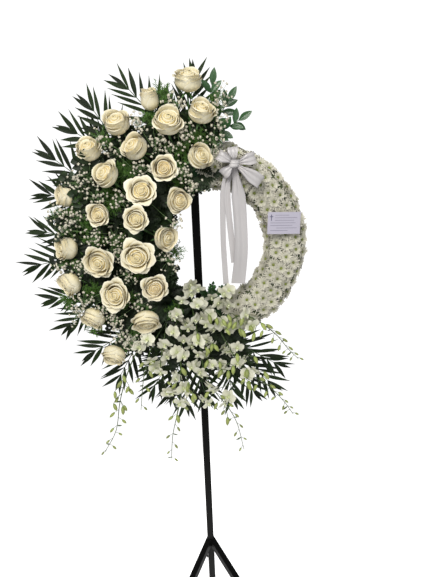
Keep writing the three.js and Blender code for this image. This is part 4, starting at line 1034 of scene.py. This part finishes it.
def orchid_bloom(soup, centre, face, up):
    """Three sepals, two broad petals and a small lip."""
    side = np.cross(up, face)
    tone = between(0.3, 1)
    size = ORCHID_RADIUS * between(0.85, 1.08)
    for angle in (0, 128, -128):
        turn = math.radians(angle + between(-6, 6))
        out = up * math.cos(turn) + side * math.sin(turn)
        soup.leaf(
            centre, out, face, 0.95 * size, 0.58 * size, tone,
            rows=6, cols=5, widest=0.5, fold=-0.2, droop=0.14, blunt=0.6,
        )
    for angle in (64, -64):
        turn = math.radians(angle + between(-6, 6))
        out = up * math.cos(turn) + side * math.sin(turn)
        base = centre + face * 0.8
        soup.leaf(
            base, out, face, 0.95 * size, size, tone,
            rows=7, cols=7, widest=0.58, fold=0.18, droop=0.12, blunt=0.5, wave=0.015,
        )
    lip = unit(-up * 0.8 + face * 0.9)
    soup.leaf(
        centre + face * 1.5, lip, face + up, 0.5 * size, 0.42 * size, 0.2, LIP_SLOT,
        rows=4, cols=5, fold=0.9, droop=0.5,
    )
    soup.turned([(1.6, 0), (2.1, 2.5), (0.9, 5)], centre, face + 0.2 * up, side, 6, 0.6, LIP_SLOT)


def orchid_bud(soup, base, hang, size, tone, **lobes):
    rows = [(radius * size, height * size) for radius, height in BUD_SHAPE]
    soup.turned(rows, base, hang, vec(0, 1, 0.2), 8, tone, BUD_SLOT, **lobes)


def nearest_on(paths, target):
    points = np.concatenate(paths)
    return points[np.argmin(np.linalg.norm(points - target, axis=1))]


def build_orchids(name, spray, materials):
    soup = Soup()
    root = spray["root"]
    knee = on_ring(root[0], root[1], KNEE_Y - 8)
    soup.tube([knee, on_ring(root[0], root[1], TOE_Y)], 2.8, 6, 0.4, STEM_SLOT)
    paths = []
    for buds, *points in spray["stems"]:
        path = smooth_path([knee, *points], 26)
        paths.append(path)
        soup.tube(path, np.linspace(2.2, 0.8, len(path)), slot=STEM_SLOT)
        for i in range(buds):
            place = BUDS_FROM + (1 - BUDS_FROM) * (i + 0.5) / buds
            exact = place * (len(path) - 1)
            k = min(int(exact), len(path) - 2)
            base = path[k] + (path[k + 1] - path[k]) * (exact - k)
            along = unit(path[k + 1] - path[k])
            side = 1 if i % 2 else -1
            out = unit(along * between(0.3, 0.9) + vec(side * between(0.6, 1.1), between(-0.7, 0.1), 0))
            size = BUD_FIRST - BUD_SHRINK * i / buds + between(-2, 2)
            neck = base + out * size * 0.7
            soup.tube([base, neck], [0.7, 0.6], 4, slot=STEM_SLOT)
            orchid_bud(soup, neck, unit(out + vec(0, 0, -0.3)), size, between(0, 1))
            if i % 3 == 0 and i:
                soup.leaf(
                    base, unit(along - out), vec(0, -1, 0), between(12, 22), between(4, 7),
                    0.7, STEM_SLOT, rows=4, widest=0.4, fold=0.3,
                )
    for x, z in spray["buds"]:
        centre = vec(x, spray["depth"] - between(4, 16), z)
        foot = nearest_on(paths, centre + vec(0, 12, 10))
        bend = 0.5 * (foot + centre) + vec(0, 0, 6)
        soup.tube(smooth_path([foot, bend, centre], 6), 0.8, 4, slot=STEM_SLOT)
        size = between(*BUD_SIZE)
        hang = vec(between(-0.7, 0.7), -0.3, -1)
        orchid_bud(soup, centre, hang, size, between(0.2, 1), lobes=3, depth=0.1)
    front = [(x + between(-4, 4), between(-12, 6), z + between(-4, 4)) for x, z in spray["blooms"]]
    behind = [(x + between(-24, 24), between(12, 30), z + between(-26, 6)) for x, z in spray["blooms"]]
    for x, depth, z in front + behind:
        centre = vec(x, spray["depth"] + depth, z)
        face = facing(1.1, -1.0, 0.3)
        up = vec(between(-0.9, 0.9), 0, 1)
        up = unit(up - face * (up @ face))
        foot = nearest_on(paths, centre + vec(0, 14, 0))
        bend = 0.5 * (foot + centre) + vec(0, 4, 4)
        soup.tube(smooth_path([foot, bend, centre - face], 6), 0.8, 4, slot=STEM_SLOT)
        orchid_bloom(soup, centre, face, up)
    soup.piece(name + "_spray", materials, "orchid_petals", name)


def build_sprig(name, root, leaf_size, tips, count, leaf, wood):
    soup = Soup()
    angle, radius, y = root
    sign = 1 if radius > RUNNER_RADIUS else -1
    knee = on_ring(angle, radius + 9 * sign, y - 2)
    toe = on_ring(angle, radius - 14 * sign, y + 4)
    soup.tube([knee + vec(0, -2, 0), knee, toe], 2.2, 6, slot=WOOD_SLOT)
    for tip in tips:
        tip = np.array(tip, float)
        path = smooth_path([knee, 0.5 * (knee + tip) + vec(0, -4, 3), tip], 9)
        soup.tube(path, np.linspace(1.5, 0.7, len(path)), slot=WOOD_SLOT)
        along = unit(tip - knee)
        across = unit(np.cross(along, vec(0, 1, 0)))
        for i in range(count):
            part = 0.22 + 0.76 * i / (count - 1)
            base = path[min(int(part * 8), 8)]
            side = 1 if i % 2 else -1
            out = along * between(0.5, 1.1) + across * side * between(0.6, 1)
            out = out + vec(0, between(-0.5, 0.1), 0)
            soup.leaf(
                base, out, facing(0.3, 0, 0.5), leaf_size[0] * between(0.8, 1.05), leaf_size[1],
                between(0, 1), rows=6, cols=5, widest=0.45, fold=0.25, droop=0.12, blunt=0.7,
            )
        soup.leaf(tip, along, vec(0, -1, 0.2), *leaf_size, 0.6, rows=6, cols=5, widest=0.45)
    soup.piece(name + "_leaves", [leaf, wood], "sprig_leaf", name)


def daisy(soup, centre, face):
    """Two whorls of blunt petals round a small domed eye."""
    roll = unit(rng.normal(size=3))
    side = unit(np.cross(face, roll))
    up = np.cross(side, face)
    size = DAISY_RADIUS * between(0.88, 1.08)
    tone = between(0.2, 1)
    for whorl, (count, reach, lift) in enumerate(DAISY_WHORLS):
        for i in range(count):
            turn = 2 * math.pi * (i + 0.5 * whorl + between(-0.15, 0.15)) / count
            out = side * math.cos(turn) + up * math.sin(turn)
            direction = out + face * (lift + between(-0.22, 0.25))
            base = centre + out * 1.5 + face * whorl
            soup.leaf(
                base, direction, face, size * reach * between(0.85, 1.05), 0.215 * size,
                tone + between(-0.2, 0.2),
                rows=4, widest=0.7, fold=0.45, droop=between(0.05, 0.25), blunt=0.5, foot=0.35,
            )
    soup.turned(DAISY_EYE, centre, face, roll, 8, between(0, 1), EYE_SLOT)


def build_daisies(name, arc, materials):
    soup = Soup()
    for row, (radius, y, outward, forward) in enumerate(DAISY_ROWS):
        count = round(radius * math.radians(arc[1] - arc[0]) / DAISY_PITCH)
        for i in range(count):
            angle = arc[0] + (arc[1] - arc[0]) * (i + 0.5 + (0.25 if row % 2 else -0.25)) / count
            angle += between(-0.9, 0.9)
            out = unit(on_ring(angle, 1, 0) - on_ring(angle, 0, 0))
            face = unit(out * outward + vec(0, -forward, 0) + rng.normal(size=3) * 0.16)
            place = on_ring(angle, radius + between(-3, 3), y + between(-3, 2))
            daisy(soup, place, face)
    # The dark sheet behind the daisies, painted shade for the gaps between them.
    points, along = [], []
    for i in range(SHADE_SHEET_STEPS + 1):
        angle = arc[0] + (arc[1] - arc[0]) * i / SHADE_SHEET_STEPS
        points.extend(on_ring(angle, radius, y) for radius, y in SHADE_SHEET)
        along.extend([i / SHADE_SHEET_STEPS] * len(SHADE_SHEET))
    faces = grid_faces(SHADE_SHEET_STEPS + 1, len(SHADE_SHEET))
    soup.add(np.array(points), faces, np.array(along), 0, 0.5, SHADE_SHEET_SLOT)
    soup.piece(name + "_blooms", materials, "daisy_petals", name)


def ribbon(name, path, width, across_of, pinch, satin):
    """A strip along a path. Where it is pinched, it gathers into pleats and keeps its width."""
    s = np.linspace(-1, 1, RIBBON_COLUMNS)
    path = np.asarray(path, float)
    lengths = np.linalg.norm(np.diff(path, axis=0), axis=1)
    total = float(lengths.sum())
    share = np.concatenate([[0], np.cumsum(lengths)]) / total
    tangent = np.gradient(path, axis=0)
    rows = []
    for place, t, direction in zip(path, share, tangent):
        squeeze = float(np.interp(t, *pinch))
        across = across_of(t)
        across = unit(across - unit(direction) * (across @ unit(direction)))
        normal = np.cross(unit(direction), across)
        depth = 0.5 * width / BOW_PLEATS * math.sqrt(max(1 - squeeze**2, 0)) * PLEAT_DEPTH
        swell = depth * np.sin(s * np.pi * BOW_PLEATS)
        curl = RIBBON_CURL * width * np.sin(3 * t + 2.0 * s) * squeeze
        rows.append(place + np.outer(s * 0.5 * width * squeeze, across) + np.outer(swell + curl, normal))
    soup = Soup()
    along, across = np.repeat(share, len(s)), np.tile(s, len(path))
    soup.add(np.concatenate(rows), grid_faces(len(path), len(s)), along, across, 0.5)
    piece = soup.piece(name, [satin], "satin_ribbon")
    return piece


def build_bow(satin):
    centre = np.array(BOW_AT, float)
    turn = np.linspace(0, 2 * np.pi, 33)
    band = np.stack([KNOT_REACH[0] * np.cos(turn), KNOT_REACH[1] * np.sin(turn), 0 * turn], -1)
    knot_path = centre + band + vec(0, -1, 0)
    pinch = ([0, 1], [0.9, 0.9])
    knot = ribbon(
        "bow_knot", knot_path, KNOT_WIDTH, lambda t: vec(0.35, 0, 1), pinch, satin
    )
    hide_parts("bow")
    phi = np.linspace(0, 2 * np.pi, 41)
    for number, (angle, length, width, depth) in enumerate(BOW_LOOPS, 1):
        turned = math.radians(angle)
        along = vec(math.cos(turned), 0, math.sin(turned))
        across = np.cross(along, vec(0, 1, 0))
        reach = BOW_START + 0.5 * length * (1 - np.cos(phi))
        fat = 0.5 * depth * np.sin(phi) * np.clip(reach / (0.4 * length), 0, 1)
        path = centre + np.outer(reach, along) + np.outer(fat, vec(0, 1, 0))
        ribbon(
            f"bow_loop_{number}", path, width, lambda t, a=across: a, LOOP_PINCH, satin,
        )
    for number, (width, points) in enumerate(BOW_TAILS, 1):
        path = smooth_path(points, TAIL_POINTS)
        sway = np.sin(np.linspace(0, 9, TAIL_POINTS)) * TAIL_SWAY
        path[:, 1] += sway * np.linspace(1, 0, TAIL_POINTS)
        tilt = between(-0.3, 0.3)
        ribbon(
            f"bow_tail_{number}", path, width, lambda t, b=tilt: vec(1, b * math.sin(3 * t), 0), TAIL_PINCH,
            satin,
        )
    neck = Soup()
    neck.tube([centre, vec(BOW_AT[0], TOE_Y, BOW_AT[2])], WIRE_RADIUS, 6)
    neck.piece("bow_wire", [satin], "satin_ribbon")


def build_card(paper, ink):
    """A slightly curved card with plain ruled lines and a plain cross, and no lettering."""
    width, height = CARD_SIZE
    cols, rows = 13, 9
    s = np.linspace(-1, 1, cols)[None, :]
    t = np.linspace(-1, 1, rows)[:, None]
    tilt = math.radians(CARD_TURN)

    def lay(x, z, lift=0.0):
        y = CARD_BOW * ((2 * x / width) ** 2 - 0.5) - lift
        return np.stack([
            CARD_AT[0] + x * math.cos(tilt) + z * math.sin(tilt),
            CARD_AT[1] + y,
            CARD_AT[2] - x * math.sin(tilt) + z * math.cos(tilt),
        ], -1)

    soup = Soup()
    x = 0.5 * width * s + 0 * t
    z = 0.5 * height * t + 0 * s
    soup.add(lay(x, z).reshape(-1, 3), grid_faces(rows, cols), 0.5, 0.0, 0.5)
    card = soup.piece("message_card", [paper], "card_paper", "card")
    print_soup = Soup()

    def bar(x0, x1, z0, z1):
        bx = np.linspace(x0, x1, 9)[None, :] + np.zeros((2, 1))
        bz = np.array([[z0], [z1]]) + np.zeros((1, 9))
        print_soup.add(lay(bx, bz, PRINT_LIFT).reshape(-1, 3), grid_faces(2, 9), 0.5, 0.0, 0.5)

    for box in CROSS_BARS:
        bar(*box)
    for row, (start, end) in enumerate(RULED_LINES):
        level = LINE_TOP - LINE_PITCH * row
        bar(start, end, level, level + LINE_HEIGHT)
    lines = print_soup.piece("card_lines", [ink], "card_paper")


def dress_hard_parts(nodes):
    """Procedural finishes for the CAD nodes that stay."""
    looks = {
        "steel": steel_material(),
        "rubber": grained_material("rubber", (0.008, 0.008, 0.008), (0.03, 0.03, 0.03), 500, 0.85, 0.3),
        "plastic": grained_material(
            "moulded_plastic", (0.012, 0.05, 0.02), (0.02, 0.08, 0.035), 300, 0.5, 0.15
        ),
        "foam": grained_material(
            "wet_foam", (0.01, 0.045, 0.015), (0.03, 0.10, 0.035), 1600, 0.95, 0.6, 0.001
        ),
    }
    for finish, names in FINISHES.items():
        for name in names:
            mesh = nodes[name].data
            if not mesh.materials:
                mesh.materials.append(None)
            for slot in nodes[name].material_slots:
                slot.material = looks[finish]


def add_camera():
    camera = bpy.data.objects.new("camera", bpy.data.cameras.new("camera"))
    bpy.context.scene.collection.objects.link(camera)
    forward, right = Vector(CAMERA_FORWARD).normalized(), Vector(CAMERA_RIGHT).normalized()
    up = right.cross(forward).normalized()
    right = forward.cross(up)
    turned = Matrix((right, up, -forward)).transposed().to_4x4()
    turned.translation = Vector(CAMERA_AT) * MM
    camera.matrix_world = turned
    camera.data.lens = CAMERA_LENS
    camera.data.sensor_width = CAMERA_SENSOR
    camera.data.clip_start = 0.05
    camera.data.clip_end = 60
    bpy.context.scene.camera = camera


def add_light(name, at, target, size, power, color):
    data = bpy.data.lights.new(name, "AREA")
    data.size = size
    data.energy = power
    data.color = color
    light = bpy.data.objects.new(name, data)
    light.location = at
    light.rotation_mode = "QUATERNION"
    light.rotation_quaternion = (Vector(target) - Vector(at)).to_track_quat("-Z", "Y")
    bpy.context.scene.collection.objects.link(light)


def add_stage():
    scene = bpy.context.scene
    world = bpy.data.worlds.new("studio")
    world.use_nodes = True
    background = world.node_tree.nodes["Background"]
    background.inputs["Color"].default_value = (1, 1, 1, 1)
    seen = world.node_tree.nodes.new("ShaderNodeLightPath").outputs["Is Camera Ray"]
    strength = world.node_tree.nodes.new("ShaderNodeMapRange")
    strength.inputs["To Min"].default_value = AMBIENT
    strength.inputs["To Max"].default_value = BACKDROP
    world.node_tree.links.new(seen, strength.inputs["Value"])
    world.node_tree.links.new(strength.outputs["Result"], background.inputs["Strength"])
    scene.world = world
    scene.view_settings.view_transform = "Standard"
    scene.view_settings.look = "None"
    mesh = bpy.data.meshes.new("floor")
    turns = [2 * math.pi * i / FLOOR_SIDES for i in range(FLOOR_SIDES)]
    rim = [(FLOOR_RADIUS * math.cos(turn), FLOOR_RADIUS * math.sin(turn), 0) for turn in turns]
    mesh.from_pydata(rim, [], [tuple(range(FLOOR_SIDES))])
    floor = bpy.data.objects.new("floor", mesh)
    scene.collection.objects.link(floor)
    nodes = Nodes("pale_floor")
    nodes.shader.inputs["Emission Color"].default_value = (1, 1, 1, 1)
    nodes.shader.inputs["Emission Strength"].default_value = FLOOR_GLOW
    speck = nodes.mix(nodes.noise(8, 6), (0.9, 0.9, 0.9), (0.95, 0.95, 0.95))
    mesh.materials.append(nodes.finish(speck, 0.8))
    for light in LIGHTS:
        add_light(*light)


def main():
    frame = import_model()
    add_camera()
    add_stage()
    dress_hard_parts(frame["nodes"])

    looks = {}
    for name, (stops, roughness, extra) in PLANT_LOOKS.items():
        looks[name] = plant_material(name, stops, roughness, **extra)
    for number, rose in enumerate(ROSES, 1):
        build_rose(f"{number:02d}", *rose, looks["rose_green"])
    for name, (root_angle, fronds) in PALMS.items():
        build_palm(name, root_angle, fronds, looks["palm_leaf"], looks["palm_rib"])
    for name, (arc, count) in FERNS.items():
        build_fern(name, arc, count, looks["leathery_fern"], looks["fluffy_fern"])
    for name, clusters in BREATH.items():
        build_breath(name, clusters, looks["breath_petals"], looks["breath_twigs"])
    orchid_looks = [looks["orchid_" + part] for part in ("petals", "lip", "stem", "bud")]
    for name, spray in ORCHIDS.items():
        build_orchids(name, spray, orchid_looks)
    for name, (root, leaf_size, tips, count) in SPRIGS.items():
        build_sprig(name, root, leaf_size, tips, count, looks["sprig_leaf"], looks["sprig_wood"])
    daisy_looks = [looks["daisy_" + part] for part in ("petals", "eye", "shade_sheet")]
    for name, arc in DAISY_ARCS.items():
        build_daisies(name, arc, daisy_looks)
    build_bow(satin_material())
    ink = grained_material("pale_ink", (0.05, 0.05, 0.10), (0.12, 0.12, 0.20), 900, 0.7, 0.0)
    build_card(card_material(), ink)


main()
